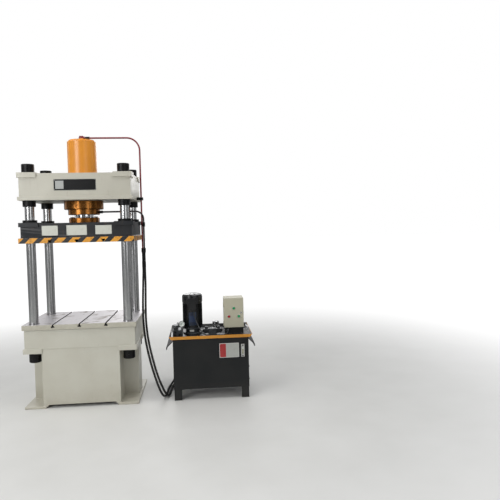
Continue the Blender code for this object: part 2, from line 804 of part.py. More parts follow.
def smooth_route(route, spacing):
    """Return evenly spaced points on a smooth curve through the route's points."""
    knots = [Vector(point) for point in route]
    knots = [2 * knots[0] - knots[1]] + knots + [2 * knots[-1] - knots[-2]]
    fine = []
    parts = ROUTE_PARTS
    for before, start, end, after in zip(knots, knots[1:], knots[2:], knots[3:]):
        for part in range(parts):
            share = part / parts
            fine.append(0.5 * (
                2 * start
                + (end - before) * share
                + (2 * before - 5 * start + 4 * end - after) * share**2
                + (3 * start - before - 3 * end + after) * share**3
            ))
    fine.append(knots[-2])
    lengths = [0.0]
    for start, end in zip(fine, fine[1:]):
        lengths.append(lengths[-1] + (end - start).length)
    count = max(2, round(lengths[-1] / spacing))
    points = []
    index = 0
    for step in range(count + 1):
        wanted = lengths[-1] * step / count
        while index < len(lengths) - 2 and lengths[index + 1] < wanted:
            index += 1
        run = lengths[index + 1] - lengths[index]
        share = (wanted - lengths[index]) / run
        points.append(fine[index].lerp(fine[index + 1], min(max(share, 0.0), 1.0)))
    return points


def cross_outline(core_x, core_y, arm_x, arm_y):
    """Return the outline of a cross: a core with an arm on each side along X."""
    return [
        (-core_x, -core_y), (core_x, -core_y), (core_x, -arm_y), (arm_x, -arm_y),
        (arm_x, arm_y), (core_x, arm_y), (core_x, core_y), (-core_x, core_y),
        (-core_x, arm_y), (-arm_x, arm_y), (-arm_x, -arm_y), (-core_x, -arm_y),
    ]


def corner_blocks(inner_x, outer_x, inner_y, outer_y, low, high):
    """Return a bmesh with the same block at each of the four corners."""
    bm = bmesh.new()
    for side_x, side_y in CORNERS:
        xs = sorted((side_x * inner_x, side_x * outer_x))
        ys = sorted((side_y * inner_y, side_y * outer_y))
        block(bm, (xs[0], ys[0], low), (xs[1], ys[1], high))
    return bm


def build_bed(press):
    """Bed: cross-shaped hollow foot, box head, four column shelves, two foot plates."""
    bm = bmesh.new()
    base_low = BED_FOOT_T - WELD_BITE
    outline = cross_outline(BED_CORE_HALF_X, BED_CORE_HALF_Y, BED_ARM_HALF_X, BED_ARM_HALF_Y)
    prism(bm, outline, base_low, BED_SHELF_HIGH_Z + WELD_BITE)
    bed = add_piece("bed", bm, "frame_paint", press)
    head = (BED_ARM_HALF_X + WELD_BITE, BED_CORE_HALF_Y + WELD_BITE)
    join(bed, "bed_head", block_of(
        (-head[0], -head[1], BED_SHELF_HIGH_Z), (head[0], head[1], BED_HEAD_TOP_Z)), press)
    shelf_inner_y = BED_ARM_HALF_Y - WELD_BITE
    join(bed, "bed_shelves", corner_blocks(
        BED_SHELF_INNER_X, BED_SHELF_OUTER_X, shelf_inner_y, BED_SHELF_HALF_Y,
        BED_SHELF_LOW_Z, BED_SHELF_HIGH_Z + WELD_BITE), press)
    bm = bmesh.new()
    inner = [size - BED_WALL_T for size in (
        BED_CORE_HALF_X, BED_CORE_HALF_Y, BED_ARM_HALF_X, BED_ARM_HALF_Y)]
    floor_z = BED_SHELF_HIGH_Z + BED_WALL_T
    prism(bm, cross_outline(*inner), -OVERRUN, floor_z + OVERRUN)
    cut(bed, "bed_hollow", bm, press)
    deck_z = BED_HEAD_TOP_Z - BED_DECK_T
    cut(bed, "bed_head_hollow", block_of(
        (-inner[2], -inner[1], floor_z), (inner[2], inner[1], deck_z)), press)
    cut(bed, "bed_toe", block_of(
        (-BED_TOE_HALF_X, -BED_CORE_HALF_Y - OVERRUN, -OVERRUN),
        (BED_TOE_HALF_X, BED_CORE_HALF_Y + OVERRUN, BED_TOE_Z)), press)
    bm = bmesh.new()
    for side in (-1, 1):
        xs = sorted((side * BED_FOOT_INNER_X, side * BED_FOOT_OUTER_X))
        block(bm, (xs[0], -BED_FOOT_HALF_Y, 0), (xs[1], BED_FOOT_HALF_Y, BED_FOOT_T))
    join(bed, "bed_feet", bm, press)
    join(bed, "bed_bosses", rods(
        BED_BOSS_R, floor_z - WELD_BITE, deck_z + WELD_BITE, COLUMN_PLACES), press)
    cut(bed, "bed_bores", rods(
        COLUMN_BORE_R, BED_SHELF_LOW_Z - OVERRUN, BED_HEAD_TOP_Z + OVERRUN,
        COLUMN_PLACES), press)


def slot_outline(half_width, low, high, slots_up):
    """Return the end outline of a plate whose T-slots open upwards or downwards."""
    starts = [SLOT_PITCH * (index - (SLOT_COUNT - 1) / 2) for index in range(SLOT_COUNT)]
    face, inward = (high, -1) if slots_up else (low, 1)
    back = low if slots_up else high
    neck_z = face + inward * SLOT_NECK_DEPTH
    foot_z = neck_z + inward * SLOT_FOOT_DEPTH
    points = [(-half_width, face)]
    for middle in starts:
        neck = SLOT_NECK_W / 2
        foot = SLOT_FOOT_W / 2
        points += [(middle - neck, face), (middle - neck, neck_z), (middle - foot, neck_z)]
        points += [(middle - foot, foot_z), (middle + foot, foot_z), (middle + foot, neck_z)]
        points += [(middle + neck, neck_z), (middle + neck, face)]
    points += [(half_width, face), (half_width, back), (-half_width, back)]
    return points


def build_slotted_plate(name, press, half_x, half_y, low, thickness, slots_up):
    """Slotted plate: T-slots run from front to rear, columns pass through the corners."""
    bm = bmesh.new()
    outline = slot_outline(half_x, low, low + thickness, slots_up)
    prism(bm, outline, -half_y, half_y, "Y")
    plate = add_piece(name, bm, "ground_steel", press)
    cut(plate, f"{name}_bores", rods(
        PLATE_BORE_R, low - OVERRUN, low + thickness + OVERRUN, COLUMN_PLACES), press)


def nut_profile(radius, bore, low, height):
    """Return the profile of a round nut with both outer edges chamfered."""
    high = low + height
    return [
        (bore, low), (radius - NUT_CHAMFER, low), (radius, low + NUT_CHAMFER),
        (radius, high - NUT_CHAMFER), (radius - NUT_CHAMFER, high), (bore, high),
    ]


def build_columns(press):
    """Columns: polished bars, each with the round nut that pulls it against the bed."""
    nut_high = BED_SHELF_LOW_Z - GAP
    nut_low = nut_high - BED_NUT_H
    for number, (x, y) in enumerate(COLUMN_PLACES, 1):
        bm = bmesh.new()
        turned(bm, [
            (0, COLUMN_LOW_Z), (COLUMN_R, COLUMN_LOW_Z), (COLUMN_R, nut_low),
            (BED_NUT_R - NUT_CHAMFER, nut_low), (BED_NUT_R, nut_low + NUT_CHAMFER),
            (BED_NUT_R, nut_high), (COLUMN_R, nut_high),
            (COLUMN_R, COLUMN_TOP_Z - COLUMN_CHAMFER),
            (COLUMN_R - COLUMN_CHAMFER, COLUMN_TOP_Z), (0, COLUMN_TOP_Z),
        ])
        add_piece(f"column_{number}", bm, "polished_column", press, (x, y, 0))


def build_nuts(press):
    """Nuts: one under the crown and one on its pad at every column."""
    for number, (x, y) in enumerate(COLUMN_PLACES, 1):
        bm = bmesh.new()
        low = CROWN_LOW_Z - GAP - CROWN_NUT_H
        turned(bm, nut_profile(CROWN_NUT_R, COLUMN_BORE_R, low, CROWN_NUT_H))
        add_piece(f"crown_nut_{number}", bm, "black_oxide", press, (x, y, 0))
        bm = bmesh.new()
        low = CROWN_PAD_TOP_Z + GAP
        turned(bm, nut_profile(TOP_NUT_R, COLUMN_BORE_R, low, TOP_NUT_H))
        add_piece(f"top_nut_{number}", bm, "black_oxide", press, (x, y, 0))


def build_crown(press):
    """Crown: hollow box beam with a wider bottom flange and a pad at every corner."""
    flange_top = CROWN_LOW_Z + CROWN_FLANGE_T
    crown = add_piece("crown", block_of(
        (-CROWN_HALF_X, -CROWN_HALF_Y, flange_top - WELD_BITE),
        (CROWN_HALF_X, CROWN_HALF_Y, CROWN_BODY_TOP_Z)), "frame_paint", press)
    join(crown, "crown_flange", block_of(
        (-CROWN_FLANGE_HALF_X, -CROWN_FLANGE_HALF_Y, CROWN_LOW_Z),
        (CROWN_FLANGE_HALF_X, CROWN_FLANGE_HALF_Y, flange_top)), press)
    join(crown, "crown_pads", corner_blocks(
        CROWN_PAD_INNER_X, CROWN_FLANGE_HALF_X, CROWN_PAD_INNER_Y, CROWN_FLANGE_HALF_Y,
        CROWN_PAD_TOP_Z - CROWN_PAD_T, CROWN_PAD_TOP_Z), press)
    inner = (CROWN_HALF_X - CROWN_WALL_T, CROWN_HALF_Y - CROWN_WALL_T)
    roof = CROWN_BODY_TOP_Z - CROWN_TOP_T
    cut(crown, "crown_hollow", block_of(
        (-inner[0], -inner[1], flange_top), (inner[0], inner[1], roof)), press)
    boss_low = flange_top - WELD_BITE
    boss_high = roof + WELD_BITE
    join(crown, "crown_bosses", rods(
        CROWN_BOSS_R, boss_low, boss_high, COLUMN_PLACES), press)
    join(crown, "crown_hub", rods(
        CROWN_HUB_R, boss_low, boss_high, [(0, 0)], BIG_SIDES), press)
    cut(crown, "crown_bores", rods(
        COLUMN_BORE_R, CROWN_LOW_Z - OVERRUN, CROWN_PAD_TOP_Z + OVERRUN,
        COLUMN_PLACES), press)
    cut(crown, "crown_hub_bore", rods(
        BARREL_R + GAP, CROWN_LOW_Z - OVERRUN, CROWN_BODY_TOP_Z + OVERRUN,
        [(0, 0)], BIG_SIDES), press)
    bm = bmesh.new()
    for side_x, side_y in CORNERS:
        middle = (side_x * CROWN_HALF_X, side_y * CROWN_SLOT_Y, CROWN_SLOT_Z)
        half = (CROWN_WALL_T + OVERRUN, CROWN_SLOT_W / 2, CROWN_SLOT_H / 2)
        block(bm, [m - h for m, h in zip(middle, half)], [m + h for m, h in zip(middle, half)])
    cut(crown, "crown_slots", bm, press)


def build_slide(press):
    """Slide body: ribbed box, open below, with column bosses and a pad at every corner."""
    slide = add_piece("slide_body", block_of(
        (-SLIDE_HALF_X, -SLIDE_HALF_Y, SLIDE_BODY_LOW_Z),
        (SLIDE_HALF_X, SLIDE_HALF_Y, SLIDE_TOP_Z)), "slide_paint", press)
    join(slide, "slide_pads", corner_blocks(
        SLIDE_PAD_INNER_X, CROWN_FLANGE_HALF_X, CROWN_PAD_INNER_Y, CROWN_FLANGE_HALF_Y,
        SLIDE_PAD_TOP_Z - SLIDE_PAD_T, SLIDE_PAD_TOP_Z), press)
    inner = (SLIDE_HALF_X - SLIDE_WALL_T, SLIDE_HALF_Y - SLIDE_WALL_T)
    roof = SLIDE_TOP_Z - SLIDE_TOP_T
    cut(slide, "slide_hollow", block_of(
        (-inner[0], -inner[1], SLIDE_BODY_LOW_Z - OVERRUN), (inner[0], inner[1], roof)), press)
    rib_low = SLIDE_BODY_LOW_Z + SLIDE_RIB_STEP
    rib_high = roof + WELD_BITE
    half_rib = SLIDE_RIB_T / 2
    join(slide, "slide_rib_x", block_of(
        (-inner[0] - WELD_BITE, -half_rib, rib_low),
        (inner[0] + WELD_BITE, half_rib, rib_high)), press)
    rib_low = rib_low + SLIDE_RIB_STEP
    join(slide, "slide_rib_y", block_of(
        (-half_rib, -inner[1] - WELD_BITE, rib_low),
        (half_rib, inner[1] + WELD_BITE, rib_high + WELD_BITE)), press)
    join(slide, "slide_bosses", rods(
        SLIDE_BOSS_R, SLIDE_BODY_LOW_Z + SLIDE_RIB_STEP / 2, rib_high, COLUMN_PLACES), press)
    join(slide, "slide_hub", rods(
        SLIDE_HUB_R, SLIDE_BODY_LOW_Z + SLIDE_RIB_STEP / 2, rib_high, [(0, 0)]), press)
    cut(slide, "slide_bores", rods(
        BUSH_SLEEVE_R + GAP, SLIDE_BODY_LOW_Z - OVERRUN, SLIDE_PAD_TOP_Z + OVERRUN,
        COLUMN_PLACES), press)


def build_bushes(press):
    """Guide bushes: a long sleeve in the slide and a flange on its pad."""
    flange_low = SLIDE_PAD_TOP_Z + GAP
    high = flange_low + BUSH_FLANGE_T
    low = high - BUSH_LENGTH
    for number, (x, y) in enumerate(COLUMN_PLACES, 1):
        bm = bmesh.new()
        turned(bm, [
            (COLUMN_BORE_R, low), (BUSH_SLEEVE_R, low), (BUSH_SLEEVE_R, flange_low),
            (BUSH_FLANGE_R, flange_low), (BUSH_FLANGE_R, high), (COLUMN_BORE_R, high),
        ])
        add_piece(f"guide_bush_{number}", bm, "black_oxide", press, (x, y, 0))


def build_barrel(press):
    """Cylinder barrel: thick tube with a domed cap and the port in its middle."""
    cap_low = BARREL_TOP_Z - BARREL_CAP_T
    bm = bmesh.new()
    turned(bm, [
        (BARREL_BORE_R, BARREL_LOW_Z), (BARREL_R, BARREL_LOW_Z),
        (BARREL_R, BARREL_TOP_Z - BARREL_SHOULDER_H), (BARREL_SHOULDER_R, BARREL_TOP_Z),
        (BARREL_DOME_R, BARREL_CROWN_Z), (BARREL_PORT_R, BARREL_CROWN_Z),
        (BARREL_PORT_R, cap_low), (BARREL_BORE_R, cap_low),
    ], BIG_SIDES)
    add_piece("cylinder_barrel", bm, "cylinder_paint", press)


def build_cylinder_rings(press):
    """Lock ring that pulls the barrel to the crown, and the gland under the barrel."""
    bm = bmesh.new()
    high = CROWN_LOW_Z - GAP
    bore = BARREL_R + GAP
    turned(bm, [
        (bore, BARREL_LOW_Z), (LOCK_RING_R - LOCK_RING_CHAMFER, BARREL_LOW_Z),
        (LOCK_RING_R, BARREL_LOW_Z + LOCK_RING_CHAMFER), (LOCK_RING_R, high), (bore, high),
    ], BIG_SIDES)
    add_piece("cylinder_lock_ring", bm, "oily_steel", press)
    bm = bmesh.new()
    shoulder = GLAND_LOW_Z + GLAND_H
    bore = ROD_R + ROD_CLEARANCE
    spigot = BARREL_BORE_R - GAP
    turned(bm, [
        (bore, GLAND_LOW_Z), (GLAND_R, GLAND_LOW_Z), (GLAND_R, shoulder),
        (spigot, shoulder), (spigot, shoulder + GLAND_SPIGOT_H),
        (bore, shoulder + GLAND_SPIGOT_H),
    ], BIG_SIDES)
    gland = add_piece("cylinder_gland", bm, "oily_steel", press)
    bm = bmesh.new()
    turned(bm, rod_profile(PORT_BORE_R, -PORT_DEPTH, OVERRUN), PIPE_SIDES,
           (GLAND_R, 0, LOWER_PORT_Z), "X")
    turn = Matrix.Rotation(-math.radians(LOWER_PIPE_TURN_DEG), 4, "Z")
    bmesh.ops.transform(bm, matrix=turn, verts=bm.verts)
    cut(gland, "gland_port", bm, press)


def build_rod(press):
    """Rod with its piston and the flange that screws it to the slide."""
    bm = bmesh.new()
    turned(bm, [
        (0, ROD_LOW_Z), (ROD_R, ROD_LOW_Z), (ROD_R, PISTON_LOW_Z - GAP),
        (ROD_NECK_R, PISTON_LOW_Z - GAP), (ROD_NECK_R, PISTON_TOP_Z), (0, PISTON_TOP_Z),
    ], BIG_SIDES)
    add_piece("piston_rod", bm, "chrome", press)
    bm = bmesh.new()
    outer = BARREL_BORE_R - PISTON_CLEARANCE
    groove_low = (PISTON_LOW_Z + PISTON_TOP_Z - PISTON_GROOVE_H) / 2
    groove_high = groove_low + PISTON_GROOVE_H
    groove_r = outer - PISTON_GROOVE_DEPTH
    turned(bm, [
        (ROD_NECK_R + GAP, PISTON_LOW_Z), (outer, PISTON_LOW_Z), (outer, groove_low),
        (groove_r, groove_low), (groove_r, groove_high), (outer, groove_high),
        (outer, PISTON_TOP_Z), (ROD_NECK_R + GAP, PISTON_TOP_Z),
    ], BIG_SIDES)
    add_piece("piston", bm, "oily_steel", press)
    bm = bmesh.new()
    high = ROD_LOW_Z + ROD_FLANGE_T
    bore = ROD_R + GAP
    turned(bm, [
        (bore, ROD_LOW_Z), (ROD_FLANGE_R, ROD_LOW_Z), (ROD_FLANGE_R, high - ROD_FLANGE_CHAMFER),
        (ROD_FLANGE_R - ROD_FLANGE_CHAMFER, high), (bore, high),
    ], BIG_SIDES)
    flange = add_piece("rod_flange", bm, "oily_steel", press)
    places = []
    for index in range(FLANGE_SCREW_COUNT):
        angle = math.tau * (index + 0.5) / FLANGE_SCREW_COUNT
        places.append((FLANGE_SCREW_PITCH_R * math.cos(angle), FLANGE_SCREW_PITCH_R * math.sin(angle)))
    join(flange, "rod_flange_screws", rods(
        FLANGE_SCREW_R, high - WELD_BITE, high + FLANGE_SCREW_H, places, HEX_SIDES), press)


def build_pipes(press):
    """Rigid pipes: from the cap and from the gland, both down the right side."""
    bm = block_of(
        (-ELBOW_BLOCK / 2, -ELBOW_BLOCK / 2, BARREL_CROWN_Z + GAP),
        (ELBOW_BLOCK / 2, ELBOW_BLOCK / 2, BARREL_CROWN_Z + GAP + ELBOW_BLOCK))
    elbow = add_piece("port_elbow", bm, "black_oxide", press)
    stub_end = ELBOW_BLOCK / 2 + ELBOW_STUB_L
    bm = bmesh.new()
    turned(bm, rod_profile(ELBOW_STUB_R, 0, stub_end), PIPE_SIDES, (0, 0, ELBOW_MID_Z), "X")
    join(elbow, "port_elbow_stub", bm, press)
    bend_z = ELBOW_MID_Z - UPPER_PIPE_BEND_R
    bend_x = UPPER_PIPE_X - UPPER_PIPE_BEND_R
    start = (stub_end + GAP, 0, ELBOW_MID_Z)
    stations = [(start, UNION_R), ((start[0] + UNION_L / 2, 0, ELBOW_MID_Z), UNION_R)]
    stations.append(((start[0] + UNION_L / 2, 0, ELBOW_MID_Z), PIPE_R))
    stations += [(point, PIPE_R) for point in arc(
        (bend_x, 0, bend_z), (bend_x, 0, ELBOW_MID_Z), (UPPER_PIPE_X, 0, bend_z), PIPE_ARC_STEPS)]
    stations += end_union(UPPER_PIPE_X)
    bm = bmesh.new()
    swept(bm, stations, PIPE_SIDES)
    add_piece("upper_pipe", bm, "pipe_paint", press)

    bend_z = LOWER_PORT_Z - LOWER_PIPE_BEND_R
    bend_x = LOWER_PIPE_X - LOWER_PIPE_BEND_R
    start = (GLAND_R + GAP, 0, LOWER_PORT_Z)
    nut_end = (start[0] + UNION_L / 2, 0, LOWER_PORT_Z)
    stations = [(start, UNION_R), (nut_end, UNION_R), (nut_end, PIPE_R)]
    stations += [(point, PIPE_R) for point in arc(
        (bend_x, 0, bend_z), (bend_x, 0, LOWER_PORT_Z), (LOWER_PIPE_X, 0, bend_z), PIPE_ARC_STEPS)]
    union_high = (LOWER_PIPE_X, 0, LOWER_UNION_Z - LOWER_PIPE_BEND_R / 2)
    union_low = (LOWER_PIPE_X, 0, union_high[2] - UNION_L)
    stations += [(union_high, PIPE_R), (union_high, UNION_R), (union_low, UNION_R)]
    stations += [(union_low, PIPE_R)]
    stations += end_union(LOWER_PIPE_X)
    bm = bmesh.new()
    swept(bm, stations, PIPE_SIDES)
    lower = add_piece("lower_pipe", bm, "pipe_paint", press)
    lower.rotation_euler.z = -math.radians(LOWER_PIPE_TURN_DEG)


def end_union(x):
    """Return the stations of the union nut and hose tail at a pipe's lower end."""
    nut_low = (x, 0, PIPE_END_Z)
    nut_high = (x, 0, PIPE_END_Z + UNION_L)
    tail_radius = HOSE_R + GAP
    tail_low = (x, 0, HOSE_HIGH_Z + GAP)
    return [
        (nut_high, PIPE_R), (nut_high, UNION_R), (nut_low, UNION_R),
        (nut_low, tail_radius), (tail_low, tail_radius),
    ]


def build_clamp(press):
    """Pipe clamp: block on the crown's flange with the long pipe through it."""
    low_x = CROWN_FLANGE_HALF_X + GAP
    clamp = add_piece("pipe_clamp", block_of(
        (low_x, -CLAMP_WIDTH / 2, CLAMP_Z - CLAMP_H / 2),
        (UPPER_PIPE_X + CLAMP_EDGE, CLAMP_WIDTH / 2, CLAMP_Z + CLAMP_H / 2)),
        "black_oxide", press)
    bm = bmesh.new()
    turned(bm, rod_profile(PIPE_R + PIPE_CLEARANCE, CLAMP_Z - CLAMP_H, CLAMP_Z + CLAMP_H), PIPE_SIDES,
           (UPPER_PIPE_X, 0, 0))
    cut(clamp, "pipe_clamp_bore", bm, press)


def outlet_places():
    """Return the (x, y) of the two outlets that drop behind the tank, in unit coordinates."""
    return [(OUTLET_FIRST_X + index * OUTLET_PITCH, OUTLET_DROP_Y) for index in range(2)]


def build_hose(name, start, fall, rise, outlet, press):
    """Free hose: a round tube on a smooth curve through its route, upright at both ends."""
    lead = Vector((0, 0, HOSE_LEAD))
    start = Vector((*start, HOSE_HIGH_Z))
    end = Vector((outlet[0] + UNIT_OFFSET_X, outlet[1] + UNIT_OFFSET_Y, OUTLET_HOSE_Z))
    route = [Vector((start.x + x, start.y + y, z)) for x, y, z in fall]
    route += [Vector((end.x + x, end.y + y, z)) for x, y, z in rise]
    points = smooth_route([start - lead, *route, end - lead], HOSE_SPACING)
    for point in points:
        point.z = max(point.z, HOSE_R + HOSE_FLOOR_GAP)
    points = [start, *points, end]
    curve = bpy.data.curves.new(name, "CURVE")
    curve.dimensions = "3D"
    curve.bevel_depth = HOSE_R
    curve.bevel_resolution = HOSE_RESOLUTION
    curve.use_fill_caps = True
    line = curve.splines.new("POLY")
    line.points.add(len(points) - 1)
    for place, point in zip(line.points, points):
        place.co = (*point, 1.0)
    curve.materials.append(finish("hose_rubber"))
    hose = bpy.data.objects.new(name, curve)
    hose.parent = press
    bpy.context.scene.collection.objects.link(hose)


def rail_outline(side):
    """Return the end outline of a bent carrying rail on one side of the tank."""
    wall = TANK_HALF_X - WELD_BITE / 2
    reach = TANK_HALF_X + RAIL_REACH
    drop = RAIL_T * RAIL_DROP_SHARE
    points = [
        (wall, RAIL_TOP_Z), (reach, RAIL_BEND_Z), (reach, RAIL_LOW_Z),
        (reach - RAIL_T, RAIL_LOW_Z), (reach - RAIL_T, RAIL_BEND_Z - RAIL_T / 2),
        (wall, RAIL_TOP_Z - drop),
    ]
    return [(side * x, z) for x, z in points]


def build_tank(unit):
    """Oil tank: open sheet box on four angle legs, with a bent rail at each end."""
    inner_x = TANK_HALF_X - TANK_WALL_T
    inner_y = TANK_HALF_Y - TANK_WALL_T
    high = TANK_TOP_Z - GAP
    tank = add_piece("tank_body", block_of(
        (-TANK_HALF_X, -TANK_HALF_Y, TANK_LOW_Z), (TANK_HALF_X, TANK_HALF_Y, high)),
        "tank_paint", unit)
    bm = bmesh.new()
    for side in (-1, 1):
        prism(bm, rail_outline(side), -TANK_HALF_Y + TANK_WALL_T, TANK_HALF_Y - TANK_WALL_T, "Y")
    join(tank, "tank_rails", bm, unit)
    cut(tank, "tank_hollow", block_of(
        (-inner_x, -inner_y, TANK_LOW_Z + TANK_WALL_T), (inner_x, inner_y, high + OVERRUN)), unit)
    bm = bmesh.new()
    edge_x = TANK_HALF_X - LEG_INSET
    edge_y = TANK_HALF_Y - LEG_INSET
    for side_x, side_y in CORNERS:
        outline = [
            (0, 0), (LEG_WIDTH, 0), (LEG_WIDTH, LEG_T),
            (LEG_T, LEG_T), (LEG_T, LEG_WIDTH), (0, LEG_WIDTH),
        ]
        outline = [(side_x * (edge_x - x), side_y * (edge_y - y)) for x, y in outline]
        prism(bm, outline, 0, TANK_LOW_Z + WELD_BITE / 2)
    join(tank, "tank_legs", bm, unit)


def build_tray(unit):
    """Tank lid: flat plate with a flared drip rim, drilled for pump and breather."""
    rings = []
    bm = bmesh.new()
    levels = [
        (TRAY_HALF_X, TRAY_HALF_Y, TANK_TOP_Z),
        (TRAY_HALF_X + TRAY_FLARE, TRAY_HALF_Y + TRAY_FLARE, TANK_TOP_Z + TRAY_RIM_H),
        (TRAY_HALF_X + TRAY_FLARE - TRAY_RIM_T, TRAY_HALF_Y + TRAY_FLARE - TRAY_RIM_T,
         TANK_TOP_Z + TRAY_RIM_H),
        (TRAY_HALF_X - TRAY_RIM_T, TRAY_HALF_Y - TRAY_RIM_T, TRAY_TOP_Z),
    ]
    for half_x, half_y, z in levels:
        ring = [(-half_x, -half_y, z), (half_x, -half_y, z), (half_x, half_y, z), (-half_x, half_y, z)]
        rings.append([bm.verts.new(corner) for corner in ring])
    bm.faces.new(rings[0])
    bm.faces.new(rings[-1])
    for lower, upper in zip(rings, rings[1:]):
        for corner in range(4):
            following = (corner + 1) % 4
            bm.faces.new((lower[corner], lower[following], upper[following], upper[corner]))
    tray = add_piece("tank_tray", bm, "tray_paint", unit)
    low = TANK_TOP_Z - OVERRUN
    high = TRAY_TOP_Z + OVERRUN
    cut(tray, "tray_pump_hole", rods(
        PUMP_FLANGE_R + LID_HOLE_CLEARANCE, low, high, [(MOTOR_X, MOTOR_Y)]), unit)
    cut(tray, "tray_breather_hole", rods(
        BREATHER_SPOUT_R + LID_HOLE_CLEARANCE, low, high, [(BREATHER_X, BREATHER_Y)]), unit)


def build_tank_fittings(unit):
    """Clean-out cover with its screws, oil level gauge, and filler breather."""
    wall = TANK_HALF_X + GAP
    high = COVER_LOW_Z + COVER_H
    cover = add_piece("clean_out_cover", block_of(
        (wall, -COVER_HALF_Y, COVER_LOW_Z), (wall + COVER_T, COVER_HALF_Y, high)),
        "tank_paint", unit)
    bm = bmesh.new()
    face = wall + COVER_T - WELD_BITE
    span = COVER_HALF_Y - COVER_SCREW_EDGE
    for z in (COVER_LOW_Z + COVER_SCREW_EDGE, high - COVER_SCREW_EDGE):
        for index in range(COVER_SCREW_COLUMNS):
            y = span * (2 * index / (COVER_SCREW_COLUMNS - 1) - 1)
            turned(bm, rod_profile(COVER_SCREW_R, 0, COVER_SCREW_H + WELD_BITE), HEX_SIDES,
                   (face, y, z), "X")
    turned(bm, rod_profile(COVER_PLUG_R, 0, COVER_PLUG_H + WELD_BITE), HEX_SIDES,
           (face, 0, (COVER_LOW_Z + high) / 2), "X")
    join(cover, "cover_screws", bm, unit)

    front = -TANK_HALF_Y - GAP
    half_w = LEVEL_W / 2
    half_h = LEVEL_H / 2
    gauge = add_piece("level_gauge", block_of(
        (LEVEL_X - half_w, front - LEVEL_T, LEVEL_Z - half_h),
        (LEVEL_X + half_w, front, LEVEL_Z + half_h)), "cast_grey", unit)
    half_w = LEVEL_WINDOW_W / 2
    half_h = LEVEL_WINDOW_H / 2
    cut(gauge, "level_window", block_of(
        (LEVEL_X - half_w, front - LEVEL_T - OVERRUN, LEVEL_Z - half_h),
        (LEVEL_X + half_w, front - LEVEL_T + LEVEL_WINDOW_DEPTH, LEVEL_Z + half_h)), unit)

    neck_high = UNIT_SEAT_Z + BREATHER_NECK_H
    cap_high = neck_high + BREATHER_CAP_H
    bm = bmesh.new()
    turned(bm, [
        (0, UNIT_SEAT_Z - BREATHER_SPOUT_L), (BREATHER_SPOUT_R, UNIT_SEAT_Z - BREATHER_SPOUT_L),
        (BREATHER_SPOUT_R, UNIT_SEAT_Z), (BREATHER_R, UNIT_SEAT_Z),
        (BREATHER_R, UNIT_SEAT_Z + BREATHER_NECK_H / 4),
        (BREATHER_NECK_R, UNIT_SEAT_Z + BREATHER_NECK_H / 4), (BREATHER_NECK_R, neck_high),
        (BREATHER_R, neck_high), (BREATHER_R, cap_high - COVER_SCREW_H),
        (BREATHER_NECK_R, cap_high), (0, cap_high),
    ])
    add_piece("filler_breather", bm, "chrome", unit, (BREATHER_X, BREATHER_Y, 0))


def build_adaptor(unit):
    """Pump adaptor: waisted casting between the lid and the motor."""
    low = UNIT_SEAT_Z
    high = low + ADAPTOR_H
    bm = bmesh.new()
    turned(bm, [
        (ADAPTOR_BORE_R, low), (ADAPTOR_FLANGE_R, low), (ADAPTOR_FLANGE_R, low + ADAPTOR_FLANGE_T),
        (ADAPTOR_WAIST_R, low + ADAPTOR_FLANGE_T), (ADAPTOR_WAIST_R, high - ADAPTOR_FLANGE_T),
        (ADAPTOR_FLANGE_R, high - ADAPTOR_FLANGE_T), (ADAPTOR_FLANGE_R, high), (ADAPTOR_BORE_R, high),
    ])
    add_piece("pump_adaptor", bm, "cast_grey", unit, (MOTOR_X, MOTOR_Y, 0))


def fin_outline():
    """Return the outline of a finned motor frame: each fin narrows to its tip."""
    points = []
    pitch = math.tau / HOUSING_FIN_COUNT
    root = pitch * HOUSING_FIN_ROOT_SHARE / 2
    tip = pitch * HOUSING_FIN_TIP_SHARE / 2
    for index in range(HOUSING_FIN_COUNT):
        middle = pitch * index
        for angle, radius in (
            (middle - root, HOUSING_R), (middle - tip, HOUSING_FIN_R),
            (middle + tip, HOUSING_FIN_R), (middle + root, HOUSING_R),
        ):
            points.append((radius * math.cos(angle), radius * math.sin(angle)))
    return points


